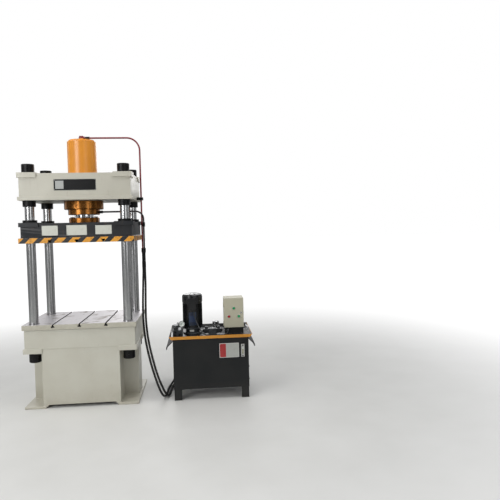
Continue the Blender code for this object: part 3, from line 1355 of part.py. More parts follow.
def build_motor(unit):
    """Motor: finned frame round the rotor, terminal box in front, fan cowl on top."""
    axis = (MOTOR_X, MOTOR_Y, 0)
    bm = bmesh.new()
    prism(bm, fin_outline(), HOUSING_LOW_Z, HOUSING_TOP_Z)
    housing = add_piece("motor_housing", bm, "motor_paint", unit, axis)
    core_low = HOUSING_LOW_Z + ROTOR_CORE_INSET
    core_high = HOUSING_TOP_Z - ROTOR_CORE_INSET
    bm = bmesh.new()
    hole = SHAFT_R + ROTOR_CLEARANCE
    core = ROTOR_CORE_R + ROTOR_CLEARANCE
    turned(bm, [
        (0, HOUSING_LOW_Z - OVERRUN), (hole, HOUSING_LOW_Z - OVERRUN),
        (hole, core_low - ROTOR_CLEARANCE), (core, core_low - ROTOR_CLEARANCE),
        (core, core_high + ROTOR_CLEARANCE), (hole, core_high + ROTOR_CLEARANCE),
        (hole, HOUSING_TOP_Z + OVERRUN), (0, HOUSING_TOP_Z + OVERRUN),
    ])
    cut(housing, "housing_bore", bm, unit, axis)

    fan_low = HOUSING_TOP_Z + FAN_LIFT
    fan_high = fan_low + FAN_H
    coupling_low = UNIT_SEAT_Z + (ADAPTOR_H - COUPLING_H) / 2
    bm = bmesh.new()
    turned(bm, [
        (0, coupling_low), (COUPLING_R, coupling_low), (COUPLING_R, coupling_low + COUPLING_H),
        (SHAFT_R, coupling_low + COUPLING_H), (SHAFT_R, core_low), (ROTOR_CORE_R, core_low),
        (ROTOR_CORE_R, core_high), (SHAFT_R, core_high), (SHAFT_R, fan_low),
        (FAN_R, fan_low), (FAN_R, fan_low + FAN_DISC_T), (FAN_HUB_R, fan_low + FAN_DISC_T),
        (FAN_HUB_R, fan_high), (0, fan_high),
    ])
    rotor = add_piece("motor_rotor", bm, "oily_steel", unit, axis)
    bm = bmesh.new()
    for index in range(FAN_BLADE_COUNT):
        made = block(
            bm, (FAN_HUB_R - WELD_BITE, -FAN_BLADE_T / 2, fan_low + FAN_DISC_T / 2),
            (FAN_R - FAN_BLADE_T, FAN_BLADE_T / 2, fan_high - FAN_DISC_T))
        turn = Matrix.Rotation(math.tau * index / FAN_BLADE_COUNT, 4, "Z")
        bmesh.ops.transform(bm, matrix=turn, verts=made)
    join(rotor, "fan_blades", bm, unit, axis)

    build_cowl(unit, axis)
    build_terminal_box(unit)


def build_cowl(unit, axis):
    """Fan cowl: thin pressed cap with rounded shoulder and slots over the fan."""
    low = HOUSING_TOP_Z + GAP
    high = low + COWL_H
    shoulder = high - COWL_DOME_H - COWL_BEND_H
    crown = high - COWL_DOME_H
    inner = [
        (0, high - COWL_T), (COWL_DOME_R, high - COWL_T), (COWL_BEND_R - COWL_T / 2, crown - COWL_T),
        (COWL_R - COWL_T, shoulder - COWL_T / 2), (COWL_R - COWL_T, low),
    ]
    outer = [
        (COWL_R, low), (COWL_R, shoulder), (COWL_BEND_R, crown), (COWL_DOME_R, high), (0, high),
    ]
    bm = bmesh.new()
    turned_shell(bm, outer, inner)
    cowl = add_piece("fan_cowl", bm, "motor_paint", unit, axis)
    bm = bmesh.new()
    for index in range(COWL_SLOT_COUNT):
        made = block(
            bm, (COWL_SLOT_INNER_R, -COWL_SLOT_W / 2, crown - OVERRUN),
            (COWL_SLOT_OUTER_R, COWL_SLOT_W / 2, high + OVERRUN))
        turn = Matrix.Rotation(math.tau * (index + 0.5) / COWL_SLOT_COUNT, 4, "Z")
        bmesh.ops.transform(bm, matrix=turn, verts=made)
    cut(cowl, "cowl_slots", bm, unit, axis)


def turned_shell(bm, outer, inner, sides=TURN_SIDES):
    """Turn a thin cap: an outer profile up to the axis and an inner one back down."""
    rings = []
    for radius, height in outer + inner:
        if radius == 0:
            rings.append([bm.verts.new((0, 0, height))])
            continue
        rings.append([
            bm.verts.new((
                radius * math.cos(math.tau * side / sides),
                radius * math.sin(math.tau * side / sides),
                height,
            ))
            for side in range(sides)
        ])
    pairs = [pair for pair in zip(rings, rings[1:]) if max(map(len, pair)) > 1]
    pairs.append((rings[-1], rings[0]))
    for lower, upper in pairs:
        for side in range(sides):
            following = (side + 1) % sides
            corners = [lower[side % len(lower)], lower[following % len(lower)]]
            corners += [upper[following % len(upper)], upper[side % len(upper)]]
            bm.faces.new(list(dict.fromkeys(corners)))


def build_terminal_box(unit):
    """Motor terminal box: box on a foot on the frame's front, with a cable gland below."""
    back = -COWL_R - GAP
    front = back - TERMINAL_OUT
    low_x = MOTOR_X - TERMINAL_W / 2
    box = add_piece("motor_terminal_box", block_of(
        (low_x, front, TERMINAL_LOW_Z),
        (low_x + TERMINAL_W, back, TERMINAL_LOW_Z + TERMINAL_H)), "motor_paint", unit)
    foot_low = TERMINAL_LOW_Z + WELD_BITE
    join(box, "terminal_foot", block_of(
        (low_x + WELD_BITE, back - WELD_BITE, foot_low),
        (low_x + TERMINAL_W - WELD_BITE, -HOUSING_FIN_R - GAP, HOUSING_TOP_Z - WELD_BITE)), unit)
    place = CABLE_START
    bm = bmesh.new()
    turned(bm, rod_profile(TERMINAL_GLAND_R, TERMINAL_LOW_Z - TERMINAL_GLAND_H,
                           TERMINAL_LOW_Z + WELD_BITE), PIPE_SIDES, (place[0], place[1], 0))
    join(box, "terminal_gland", bm, unit)


def build_pump(unit):
    """Gear pump under the lid with its suction pipe and strainer."""
    high = UNIT_SEAT_Z - GAP
    low = high - PUMP_FLANGE_T - PUMP_H
    pump = add_piece("gear_pump", rods(
        PUMP_FLANGE_R, high - PUMP_FLANGE_T, high, [(0, 0)]), "cast_grey", unit,
        (MOTOR_X, MOTOR_Y, 0))
    join(pump, "pump_case", block_of(
        (-PUMP_HALF_X, -PUMP_HALF_Y, low),
        (PUMP_HALF_X, PUMP_HALF_Y, high - PUMP_FLANGE_T + WELD_BITE / 2)),
        unit, (MOTOR_X, MOTOR_Y, 0))
    top = low - GAP
    rib_pitch = (STRAINER_L - 2 * STRAINER_CAP_T) / STRAINER_RIB_COUNT
    mesh_r = STRAINER_R - STRAINER_RIB_DEPTH
    profile = [(0, top), (STRAINER_PIPE_R, top), (STRAINER_PIPE_R, top - STRAINER_DROP)]
    z = top - STRAINER_DROP
    profile += [(STRAINER_R, z), (STRAINER_R, z - STRAINER_CAP_T)]
    for rib in range(STRAINER_RIB_COUNT):
        z_rib = z - STRAINER_CAP_T - rib_pitch * rib
        profile += [(mesh_r, z_rib - rib_pitch / 4), (STRAINER_R, z_rib - rib_pitch)]
    bottom = z - STRAINER_L
    profile += [(STRAINER_R, bottom), (0, bottom)]
    bm = bmesh.new()
    turned(bm, profile, PIPE_SIDES)
    add_piece("suction_strainer", bm, "filter_mesh", unit, (MOTOR_X, MOTOR_Y, 0))


def build_manifold(unit):
    """Valve manifold: ported block, relief valve on top, two outlet pipes to the rear."""
    block_low = (MANIFOLD_LOW_X, MANIFOLD_LOW_Y, UNIT_SEAT_Z)
    manifold = add_piece("valve_manifold", block_of(
        block_low, (MANIFOLD_HIGH_X, MANIFOLD_HIGH_Y, MANIFOLD_TOP_Z)), "cast_grey", unit)
    join(manifold, "relief_valve", block_of(
        (RELIEF_X - RELIEF_HALF_X, RELIEF_Y - RELIEF_HALF_Y, MANIFOLD_TOP_Z - WELD_BITE),
        (RELIEF_X + RELIEF_HALF_X, RELIEF_Y + RELIEF_HALF_Y, MANIFOLD_TOP_Z + RELIEF_H)), unit)
    for index, (x, drop_y) in enumerate(outlet_places()):
        bend_y = drop_y - OUTLET_BEND_R
        bend_z = OUTLET_Z - OUTLET_BEND_R
        hose_z = OUTLET_HOSE_Z + GAP
        stations = [((x, MANIFOLD_HIGH_Y - WELD_BITE, OUTLET_Z), OUTLET_UNION_R)]
        nut = (x, MANIFOLD_HIGH_Y + OUTLET_UNION_L / 2, OUTLET_Z)
        stations += [(nut, OUTLET_UNION_R), (nut, OUTLET_R)]
        stations += [(point, OUTLET_R) for point in arc(
            (x, bend_y, bend_z), (x, bend_y, OUTLET_Z), (x, drop_y, bend_z), PIPE_ARC_STEPS // 2)]
        high = (x, drop_y, OUTLET_END_Z)
        low = (x, drop_y, OUTLET_END_Z - OUTLET_UNION_L)
        tail = (x, drop_y, hose_z)
        stations += [(high, OUTLET_R), (high, OUTLET_UNION_R), (low, OUTLET_UNION_R)]
        stations += [(low, HOSE_R + GAP), (tail, HOSE_R + GAP)]
        bm = bmesh.new()
        swept(bm, stations, PIPE_SIDES)
        join(manifold, f"outlet_pipe_{index + 1}", bm, unit)
    build_knob(unit)


def build_knob(unit):
    """Relief knob: fluted hand knob on the relief valve's front."""
    front = RELIEF_Y - RELIEF_HALF_Y - GAP
    centre = (RELIEF_X, front, MANIFOLD_TOP_Z + RELIEF_H / 2)
    bm = bmesh.new()
    points = []
    for index in range(KNOB_FLUTES * 2):
        radius = KNOB_R if index % 2 == 0 else KNOB_R * KNOB_FLUTE_SHARE
        angle = math.pi * index / KNOB_FLUTES
        points.append((radius * math.cos(angle), radius * math.sin(angle)))
    prism(bm, points, -KNOB_NECK_L - KNOB_L, -KNOB_NECK_L, "Y")
    knob = add_piece("relief_knob", bm, "relay_plastic", unit, centre)
    bm = bmesh.new()
    turned(bm, rod_profile(KNOB_NECK_R, -KNOB_NECK_L - WELD_BITE, 0), PIPE_SIDES, (0, 0, 0), "Y")
    join(knob, "knob_neck", bm, unit, centre)


def build_gauge(unit):
    """Pressure gauge: round case on a stem, white dial, pointer and glass."""
    centre = (GAUGE_X, GAUGE_Y, GAUGE_Z)
    back = GAUGE_DEPTH / 2
    front = -GAUGE_DEPTH / 2
    dial = front + GAUGE_DIAL_DEPTH
    inner = GAUGE_R - GAUGE_WALL_T
    bm = bmesh.new()
    turned(bm, [
        (0, dial), (inner, dial), (inner, front), (GAUGE_R, front), (GAUGE_R, back), (0, back),
    ], TURN_SIDES, (0, 0, 0), "Y")
    case = add_piece("gauge_case", bm, "dial_white", unit, centre)
    bm = bmesh.new()
    stem_low = MANIFOLD_TOP_Z + GAP - GAUGE_Z
    turned(bm, rod_profile(GAUGE_STEM_R, stem_low, -GAUGE_R + WELD_BITE), PIPE_SIDES)
    join(case, "gauge_stem", bm, unit, centre)

    bm = bmesh.new()
    angle = math.radians(POINTER_REST_DEG)
    along = Vector((math.cos(angle), 0, math.sin(angle)))
    across = Vector((-math.sin(angle), 0, math.cos(angle)))
    half = POINTER_W / 2
    corners = [
        along * POINTER_LENGTH, across * half, across * half - along * POINTER_TAIL,
        across * -half - along * POINTER_TAIL, across * -half,
    ]
    prism(bm, [(corner.x, corner.z) for corner in corners], -POINTER_T / 2, POINTER_T / 2, "Y")
    place = (GAUGE_X, GAUGE_Y + dial - POINTER_LIFT, GAUGE_Z)
    pointer = add_piece("gauge_pointer", bm, "pointer_black", unit, place)
    bm = bmesh.new()
    turned(bm, rod_profile(POINTER_HUB_R, -POINTER_HUB_T, POINTER_HUB_T), PIPE_SIDES, (0, 0, 0), "Y")
    join(pointer, "pointer_hub", bm, unit, place)

    bm = bmesh.new()
    glass_front = front + GAUGE_GLASS_SET
    turned(bm, rod_profile(inner - GAP, glass_front, glass_front + GAUGE_GLASS_T),
           TURN_SIDES, (0, 0, 0), "Y")
    add_piece("gauge_glass", bm, "clear_glass", unit, centre)


def build_directional_valve(unit):
    """Directional valve: body on a subplate, a solenoid with its plug at each end."""
    base_high = UNIT_SEAT_Z + VALVE_BASE_H
    body_high = base_high + VALVE_BODY_H
    middle_z = base_high + VALVE_BODY_H / 2
    valve = add_piece("directional_valve", block_of(
        (VALVE_X - VALVE_BODY_HALF_X, VALVE_Y - VALVE_BODY_HALF_Y, base_high - WELD_BITE),
        (VALVE_X + VALVE_BODY_HALF_X, VALVE_Y + VALVE_BODY_HALF_Y, body_high)),
        "cast_grey", unit)
    join(valve, "valve_subplate", block_of(
        (VALVE_X - VALVE_BASE_HALF_X, VALVE_Y - VALVE_BASE_HALF_Y, UNIT_SEAT_Z),
        (VALVE_X + VALVE_BASE_HALF_X, VALVE_Y + VALVE_BASE_HALF_Y, base_high)), unit)
    for side, label in ((-1, "left"), (1, "right")):
        near = VALVE_X + side * (VALVE_BODY_HALF_X - WELD_BITE)
        far = VALVE_X + side * (VALVE_BODY_HALF_X + SOLENOID_L)
        xs = sorted((near, far))
        join(valve, f"solenoid_{label}", block_of(
            (xs[0], VALVE_Y - SOLENOID_HALF, middle_z - SOLENOID_HALF),
            (xs[1], VALVE_Y + SOLENOID_HALF, middle_z + SOLENOID_HALF)), unit)
        ends = sorted((far - side * WELD_BITE, far + side * SOLENOID_END_L))
        bm = bmesh.new()
        turned(bm, rod_profile(SOLENOID_END_R, ends[0], ends[1]), PIPE_SIDES,
               (0, VALVE_Y, middle_z), "X")
        join(valve, f"solenoid_end_{label}", bm, unit)
        plug_x = (near + far) / 2
        plug_low = middle_z + SOLENOID_HALF - WELD_BITE
        join(valve, f"solenoid_plug_{label}", block_of(
            (plug_x - CONNECTOR_HALF, VALVE_Y - CONNECTOR_HALF, plug_low),
            (plug_x + CONNECTOR_HALF, VALVE_Y + CONNECTOR_HALF, plug_low + CONNECTOR_H)), unit)


def build_box_stand(unit):
    """Stand: folded bracket that lifts the control box off the tray."""
    high = BOX_LOW_Z - GAP
    half_w = STAND_W / 2
    front = BOX_FRONT_Y + DOOR_T + DOOR_GAP
    bm = bmesh.new()
    outline = [
        (-half_w, UNIT_SEAT_Z), (-half_w, high), (half_w, high), (half_w, UNIT_SEAT_Z),
        (half_w - STAND_T, UNIT_SEAT_Z), (half_w - STAND_T, high - STAND_T),
        (-half_w + STAND_T, high - STAND_T), (-half_w + STAND_T, UNIT_SEAT_Z),
    ]
    prism(bm, [(BOX_X + x, z) for x, z in outline], front, front + STAND_D, "Y")
    stand = add_piece("box_stand", bm, "tank_paint", unit)
    place = CABLE_END
    cut(stand, "stand_cable_hole", rods(
        CABLE_R + PIPE_CLEARANCE, high - OVERRUN, high + OVERRUN, [(place[0], place[1])], CABLE_SIDES), unit)


def build_box(unit):
    """Control box: sheet body with an inward lip round its open front."""
    half_w = BOX_W / 2
    back_y = BOX_FRONT_Y + BOX_D
    front_y = BOX_FRONT_Y + DOOR_T + DOOR_GAP
    high = BOX_LOW_Z + BOX_H
    body = add_piece("box_body", block_of(
        (BOX_X - half_w, front_y, BOX_LOW_Z), (BOX_X + half_w, back_y, high)), "box_paint", unit)
    wall = BOX_WALL_T
    cut(body, "box_hollow", block_of(
        (BOX_X - half_w + wall, front_y + wall, BOX_LOW_Z + wall),
        (BOX_X + half_w - wall, back_y - wall, high - wall)), unit)
    lip = BOX_LIP_W
    cut(body, "box_mouth", block_of(
        (BOX_X - half_w + lip, front_y - OVERRUN, BOX_LOW_Z + lip),
        (BOX_X + half_w - lip, front_y + OVERRUN, high - lip)), unit)
    hinge_x = BOX_X - half_w - HINGE_OUT
    hinge_y = BOX_FRONT_Y + DOOR_T
    bm = bmesh.new()
    leaves = bmesh.new()
    for share in HINGE_SHARES:
        knuckle_high = BOX_LOW_Z + BOX_H * share - HINGE_H / 2 - GAP
        knuckle_low = knuckle_high - HINGE_H * BODY_KNUCKLE_SHARE
        turned(bm, rod_profile(HINGE_R, knuckle_low, knuckle_high), PIPE_SIDES, (hinge_x, hinge_y, 0))
        leaf_y = front_y + GAP
        block(leaves, (hinge_x, leaf_y, knuckle_low + GAP),
              (BOX_X - half_w + wall / 2, leaf_y + LEAF_T, knuckle_high - GAP))
    join(body, "box_knuckles", bm, unit)
    join(body, "box_leaves", leaves, unit)
    place = CABLE_END
    cut(body, "box_cable_hole", rods(
        CABLE_R - GAP, BOX_LOW_Z - OVERRUN, BOX_LOW_Z + OVERRUN, [(place[0], place[1])],
        CABLE_SIDES), unit)


def button_places():
    """Return (name, finish, x, z) of the three push buttons, in unit coordinates."""
    half = BUTTON_PAIR_PITCH / 2
    return (
        ("button_down", "green_plastic", BOX_X, BUTTON_HIGH_Z),
        ("button_stop", "red_plastic", BOX_X - half, BUTTON_LOW_Z),
        ("button_up", "green_plastic", BOX_X + half, BUTTON_LOW_Z),
    )


def lock_place():
    """Return (x, z) of the door's lock, in unit coordinates."""
    return BOX_X + BOX_W / 2 - LOCK_EDGE, BOX_LOW_Z + BOX_H / 2


def build_lock(unit):
    """Quarter-turn lock: slotted head in front of the door, cam behind the body's lip."""
    x, z = lock_place()
    place = (x, BOX_FRONT_Y, z)
    cam_low = DOOR_T + DOOR_GAP + BOX_WALL_T + LOCK_CAM_GAP
    bm = bmesh.new()
    turned(bm, [
        (0, -GAP - LOCK_HEAD_T), (LOCK_HEAD_R, -GAP - LOCK_HEAD_T), (LOCK_HEAD_R, -GAP),
        (LOCK_SHANK_R, -GAP), (LOCK_SHANK_R, cam_low + LOCK_CAM_T), (0, cam_low + LOCK_CAM_T),
    ], SMALL_SIDES, (0, 0, 0), "Y")
    lock = add_piece("door_lock", bm, "chrome", unit, place)
    half = LOCK_CAM_W / 2
    join(lock, "lock_cam", block_of(
        (-half, cam_low, -LOCK_CAM_L), (half, cam_low + LOCK_CAM_T - GAP, half)), unit, place)
    half = LOCK_KEY_W / 2
    cut(lock, "lock_key", block_of(
        (-half, -LOCK_HEAD_T - OVERRUN, -LOCK_HEAD_R - OVERRUN),
        (half, LOCK_KEY_DEPTH - GAP - LOCK_HEAD_T, LOCK_HEAD_R + OVERRUN)), unit, place)


def build_door(unit):
    """Door: folded pan on two hinges at its left edge, bored for three buttons."""
    half_w = BOX_W / 2
    hinge_x = BOX_X - half_w - HINGE_OUT
    hinge_y = BOX_FRONT_Y + DOOR_T
    hinge = (hinge_x, hinge_y, 0)
    back = -DOOR_T
    high = BOX_LOW_Z + BOX_H
    left = HINGE_OUT
    right = HINGE_OUT + BOX_W
    door = add_piece("box_door", block_of(
        (left, back, BOX_LOW_Z), (right, 0, high)), "box_paint", unit, hinge)
    skin = DOOR_SKIN_T
    cut(door, "door_pan", block_of(
        (left + skin, back + skin, BOX_LOW_Z + skin), (right - skin, OVERRUN, high - skin)),
        unit, hinge)
    bm = bmesh.new()
    for share in HINGE_SHARES:
        z = BOX_LOW_Z + BOX_H * share
        turned(bm, rod_profile(HINGE_R, z - HINGE_H / 2, z + HINGE_H / 2), PIPE_SIDES)
    knuckles = add_helper("door_knuckles", bm, unit, hinge)
    combine(door, knuckles, "UNION")
    bm = bmesh.new()
    for share in HINGE_SHARES:
        z = BOX_LOW_Z + BOX_H * share
        block(bm, (0, -HINGE_R, z - HINGE_H / 2 + WELD_BITE),
              (left + skin, -HINGE_R + skin, z + HINGE_H / 2 - WELD_BITE))
    join(door, "door_leaves", bm, unit, hinge)
    bezels = bmesh.new()
    bores = bmesh.new()
    for _, _, x, z in button_places():
        centre = (x - hinge_x, 0, z)
        turned(bezels, rod_profile(BEZEL_R, back - BEZEL_H, back + CONTACT_BLOCK_D),
               SMALL_SIDES, centre, "Y")
        turned(bores, rod_profile(BUTTON_R + BUTTON_CLEARANCE, back - OVERRUN,
                                  back + CONTACT_BLOCK_D - skin), SMALL_SIDES, centre, "Y")
    lock_x, lock_z = lock_place()
    turned(bores, rod_profile(LOCK_SHANK_R + BUTTON_CLEARANCE, back - OVERRUN, back + OVERRUN),
           SMALL_SIDES, (lock_x - hinge_x, 0, lock_z), "Y")
    join(door, "door_bezels", bezels, unit, hinge)
    cut(door, "door_bores", bores, unit, hinge)


def build_buttons(unit):
    """Push buttons: a cap that stands out of its bezel, and a stem behind it."""
    front = BOX_FRONT_Y - BEZEL_H
    for name, material_name, x, z in button_places():
        bm = bmesh.new()
        edge = BUTTON_OUT / 4
        shoulder = BEZEL_H + DOOR_SKIN_T
        turned(bm, [
            (0, -BUTTON_OUT), (BUTTON_R - edge, -BUTTON_OUT), (BUTTON_R, edge - BUTTON_OUT),
            (BUTTON_R, shoulder), (BUTTON_STEM_R, shoulder),
            (BUTTON_STEM_R, shoulder + BUTTON_STEM_L), (0, shoulder + BUTTON_STEM_L),
        ], SMALL_SIDES, (0, 0, 0), "Y")
        add_piece(name, bm, material_name, unit, (x, front, z))


def build_contactor_plate(unit):
    """Mounting plate with contactor, overload relay and terminal strip."""
    back = BOX_FRONT_Y + BOX_D - BOX_WALL_T - GAP
    plate_back = back - PLATE_OFF_WALL
    plate_front = plate_back - PLATE_T
    middle_z = BOX_LOW_Z + BOX_H / 2
    plate = add_piece("contactor_plate", block_of(
        (BOX_X - PLATE_W / 2, plate_front, middle_z - PLATE_H / 2),
        (BOX_X + PLATE_W / 2, plate_back, middle_z + PLATE_H / 2)), "relay_plastic", unit)
    bm = bmesh.new()
    for side_x, side_y in CORNERS:
        x = BOX_X + side_x * (PLATE_W / 2 - 2 * STANDOFF_R)
        z = middle_z + side_y * (PLATE_H / 2 - 2 * STANDOFF_R)
        turned(bm, rod_profile(STANDOFF_R, plate_back - PLATE_T / 2, back), HEX_SIDES, (x, 0, z), "Y")
    join(plate, "plate_standoffs", bm, unit)
    sink = plate_front + PLATE_T / 2
    contactor_low = middle_z
    bm = bmesh.new()
    for index in (-1, 1):
        x = BOX_X + index * CONTACTOR_W * CONTACTOR_OFFSET_SHARE
        block(bm, (x - CONTACTOR_W / 2, sink - CONTACTOR_D, contactor_low),
              (x + CONTACTOR_W / 2, sink, contactor_low + CONTACTOR_H))
        block(bm, (x - CONTACTOR_W / 2, sink - RELAY_D, contactor_low - RELAY_H - GAP),
              (x + CONTACTOR_W / 2, sink, contactor_low - GAP))
    strip_low = middle_z - PLATE_H / 2 + WELD_BITE
    block(bm, (BOX_X - PLATE_W / 2 + WELD_BITE, sink - TERMINAL_STRIP_D, strip_low),
          (BOX_X + PLATE_W / 2 - WELD_BITE, sink, strip_low + TERMINAL_STRIP_H))
    join(plate, "plate_devices", bm, unit)


def build_cable(unit):
    """Motor lead: from the terminal box's gland along the tray into the control box."""
    start, end = Vector(CABLE_START), Vector(CABLE_END)
    route = [start]
    for share, (out_y, z) in zip(CABLE_RUN_SHARES, CABLE_BENDS):
        straight = start.lerp(end, share)
        route.append(Vector((straight.x, straight.y + out_y, z)))
    points = smooth_route([*route, end], CABLE_SPACING)
    bm = bmesh.new()
    swept(bm, [(point, CABLE_R) for point in points], CABLE_SIDES)
    add_piece("motor_cable", bm, "hose_rubber", unit)


def main():
    """Build the press and its power unit."""
    clear_scene()
    press = add_empty("press", (PRESS_X, 0, 0))
    unit = add_empty("power_unit", (PRESS_X + UNIT_OFFSET_X, UNIT_OFFSET_Y, 0))
    build_bed(press)
    build_slotted_plate(
        "table_bolster", press, TABLE_HALF_X, TABLE_HALF_Y, TABLE_LOW_Z, TABLE_T, True)
    build_columns(press)
    build_nuts(press)
    build_crown(press)
    build_slide(press)
    build_slotted_plate(
        "slide_bolster", press, SLIDE_PLATE_HALF_X, SLIDE_PLATE_HALF_Y, SLIDE_LOW_Z,
        SLIDE_PLATE_T, False)
    build_bushes(press)
    build_barrel(press)
    build_cylinder_rings(press)
    build_rod(press)
    build_pipes(press)
    build_clamp(press)
    pressure_outlet, return_outlet = outlet_places()
    turn = math.radians(LOWER_PIPE_TURN_DEG)
    lower_end = (LOWER_PIPE_X * math.cos(turn), -LOWER_PIPE_X * math.sin(turn))
    build_hose(
        "pressure_hose", (UPPER_PIPE_X, 0), PRESSURE_FALL, PRESSURE_RISE, pressure_outlet, press)
    build_hose("return_hose", lower_end, RETURN_FALL, RETURN_RISE, return_outlet, press)
    build_tank(unit)
    build_tray(unit)
    build_tank_fittings(unit)
    build_adaptor(unit)
    build_motor(unit)
    build_pump(unit)
    build_manifold(unit)
    build_gauge(unit)
    build_directional_valve(unit)
    build_box_stand(unit)
    build_box(unit)
    build_door(unit)
    build_lock(unit)
    build_buttons(unit)
    build_contactor_plate(unit)
    build_cable(unit)


main()
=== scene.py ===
"""Looks of a four-column hydraulic press and of the oil power unit that drives it.

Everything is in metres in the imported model's frame: +Z up, the front faces -Y, and the
power unit stands on the +X side. Each piece is drawn round its own place, so a pattern
that follows a turned or a milled face follows the piece.
"""

from __future__ import annotations

import json
import logging
import math
from dataclasses import dataclass
from enum import Enum
from typing import Any, Callable, Iterable, Iterator, Sequence

import bmesh
import bpy
from mathutils import Matrix, Vector

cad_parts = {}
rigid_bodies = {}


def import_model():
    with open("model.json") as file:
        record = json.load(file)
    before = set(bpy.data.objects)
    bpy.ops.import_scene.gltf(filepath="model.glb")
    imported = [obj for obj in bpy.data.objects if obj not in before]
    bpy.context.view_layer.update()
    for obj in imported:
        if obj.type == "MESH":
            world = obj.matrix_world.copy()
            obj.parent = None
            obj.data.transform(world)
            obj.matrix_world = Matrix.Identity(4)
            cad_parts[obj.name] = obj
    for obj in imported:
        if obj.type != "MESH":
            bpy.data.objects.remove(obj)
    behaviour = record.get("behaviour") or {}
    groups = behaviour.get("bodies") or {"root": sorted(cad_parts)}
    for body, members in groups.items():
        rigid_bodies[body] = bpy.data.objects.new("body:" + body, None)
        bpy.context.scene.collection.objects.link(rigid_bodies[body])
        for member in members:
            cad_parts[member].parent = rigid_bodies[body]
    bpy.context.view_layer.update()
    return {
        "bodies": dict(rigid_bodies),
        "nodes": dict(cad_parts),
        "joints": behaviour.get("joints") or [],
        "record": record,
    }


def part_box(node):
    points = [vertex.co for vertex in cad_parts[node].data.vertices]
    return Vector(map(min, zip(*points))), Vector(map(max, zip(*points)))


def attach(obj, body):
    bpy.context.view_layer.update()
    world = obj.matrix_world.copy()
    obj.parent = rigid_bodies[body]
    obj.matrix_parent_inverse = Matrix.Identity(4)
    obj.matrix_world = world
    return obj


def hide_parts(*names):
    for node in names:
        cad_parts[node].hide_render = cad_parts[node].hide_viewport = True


LOG = logging.getLogger("press")
# Edges that turn by less than this are shaded smooth.
SMOOTH_BELOW = math.radians(34)
# Top of the tank's lid above the floor, where its fittings stand.
LID_SEAT = 0.5803

Point = Sequence[float]
Outline = Sequence[Sequence[float]]
Pair = tuple[float, float]
Triple = tuple[float, float, float]
Quad = tuple[float, float, float, float]
Layer = tuple[bpy.types.NodeSocket, str]


class Axis(Enum):
    """Which way a turned, extruded or screwed shape points."""

    X = Matrix.Rotation(math.pi / 2, 4, "Y")
    MINUS_X = Matrix.Rotation(-math.pi / 2, 4, "Y")
    Y = Matrix.Rotation(-math.pi / 2, 4, "X")
    MINUS_Y = Matrix.Rotation(math.pi / 2, 4, "X")
    Z = Matrix.Identity(4)
    MINUS_Z = Matrix.Rotation(math.pi, 4, "X")


class Lay(Enum):
    """Which way the cutter marks of a machined steel face run."""

    ROUND = "round"
    ALONG_Y = "along_y"


def linear(hex_code: str) -> Quad:
    """Turn an sRGB colour to linear light.

    Args:
        hex_code: Colour such as "#A5A396".

    Returns:
        Red, green, blue and an alpha of 1.
    """
    channels = [int(hex_code[start:start + 2], 16) / 255 for start in (1, 3, 5)]
    red, green, blue = (
        c / 12.92 if c <= 0.04045 else ((c + 0.055) / 1.055) ** 2.4 for c in channels)
    return red, green, blue, 1.0


def per_mm(size_mm: float) -> float:
    """Return the pattern scale that makes one feature this many millimetres wide."""
    return 1000.0 / size_mm


class Graph:
    """Node tree of a material or of the world, with its object coordinates."""

    def __init__(self, name: str, world: bool = False) -> None:
        """Start a node tree.

        Args:
            name: Name of the material or of the world.
            world: Whether the tree is the world's.
        """
        self.owner = (bpy.data.worlds if world else bpy.data.materials).new(name)
        self.owner.use_nodes = True
        self.tree = self.owner.node_tree
        self.place = self.add("TexCoord", out="Object")

    def add(
            self, kind: str, inputs: Sequence[Any] | dict[Any, Any] = (), out: Any = 0,
            **settings: Any) -> bpy.types.NodeSocket:
        """Add one node with its settings and links.

        A node with a vector input gets the object coordinates where no other vector is given.

        Args:
            kind: Blender's name of the node type, without "ShaderNode" in front.
            inputs: Values or sockets, in their order, or by input name or number.
            out: Name or number of the output that is returned.
            settings: Properties of the node.

        Returns:
            The chosen output socket.
        """
        node = self.tree.nodes.new(f"ShaderNode{kind}")
        for key, value in settings.items():
            setattr(node, key, value)
        if "Vector" in node.inputs:
            self.feed(node.inputs["Vector"], self.place)
        pairs = inputs if isinstance(inputs, dict) else dict(enumerate(inputs))
        for key, value in pairs.items():
            self.feed(node.inputs[key], value)
        return node.outputs[out]

    def feed(self, socket: bpy.types.NodeSocket, value: Any) -> None:
        """Link an input to another node's output, or give it a value."""
        if isinstance(value, bpy.types.NodeSocket):
            self.tree.links.new(value, socket)
        else:
            socket.default_value = value

    def finish(self, base: str, *layers: Layer, **inputs: Any) -> bpy.types.Material:
        """Lay colours over one another, set the plain shader and return the material.

        Args:
            base: The material's own colour.
            layers: What lies over it: the share of each place that it covers, and its colour.
            inputs: The shader's other inputs, with underscores for spaces.

        Returns:
            The material.
        """
        shade: Any = linear(base)
        for share, colour in layers:
            shade = self.add(
                "Mix", {"Factor": share, 6: shade, 7: linear(colour)}, 2, data_type="RGBA")
        shader = self.tree.nodes["Principled BSDF"]
        for key, value in {"Base_Color": shade, **inputs}.items():
            self.feed(shader.inputs[key.replace("_", " ")], value)
        return self.owner


@dataclass(frozen=True)
class Finish:
    """A surface finish; each kind below builds its own material."""

    name: str
    slot: str

    def build(self) -> bpy.types.Material:
        """Build the material; every kind of finish has its own."""
        raise NotImplementedError

    def material(self) -> bpy.types.Material:
        """Return the finish's material, built once."""
        return bpy.data.materials.get(self.name) or self.build()


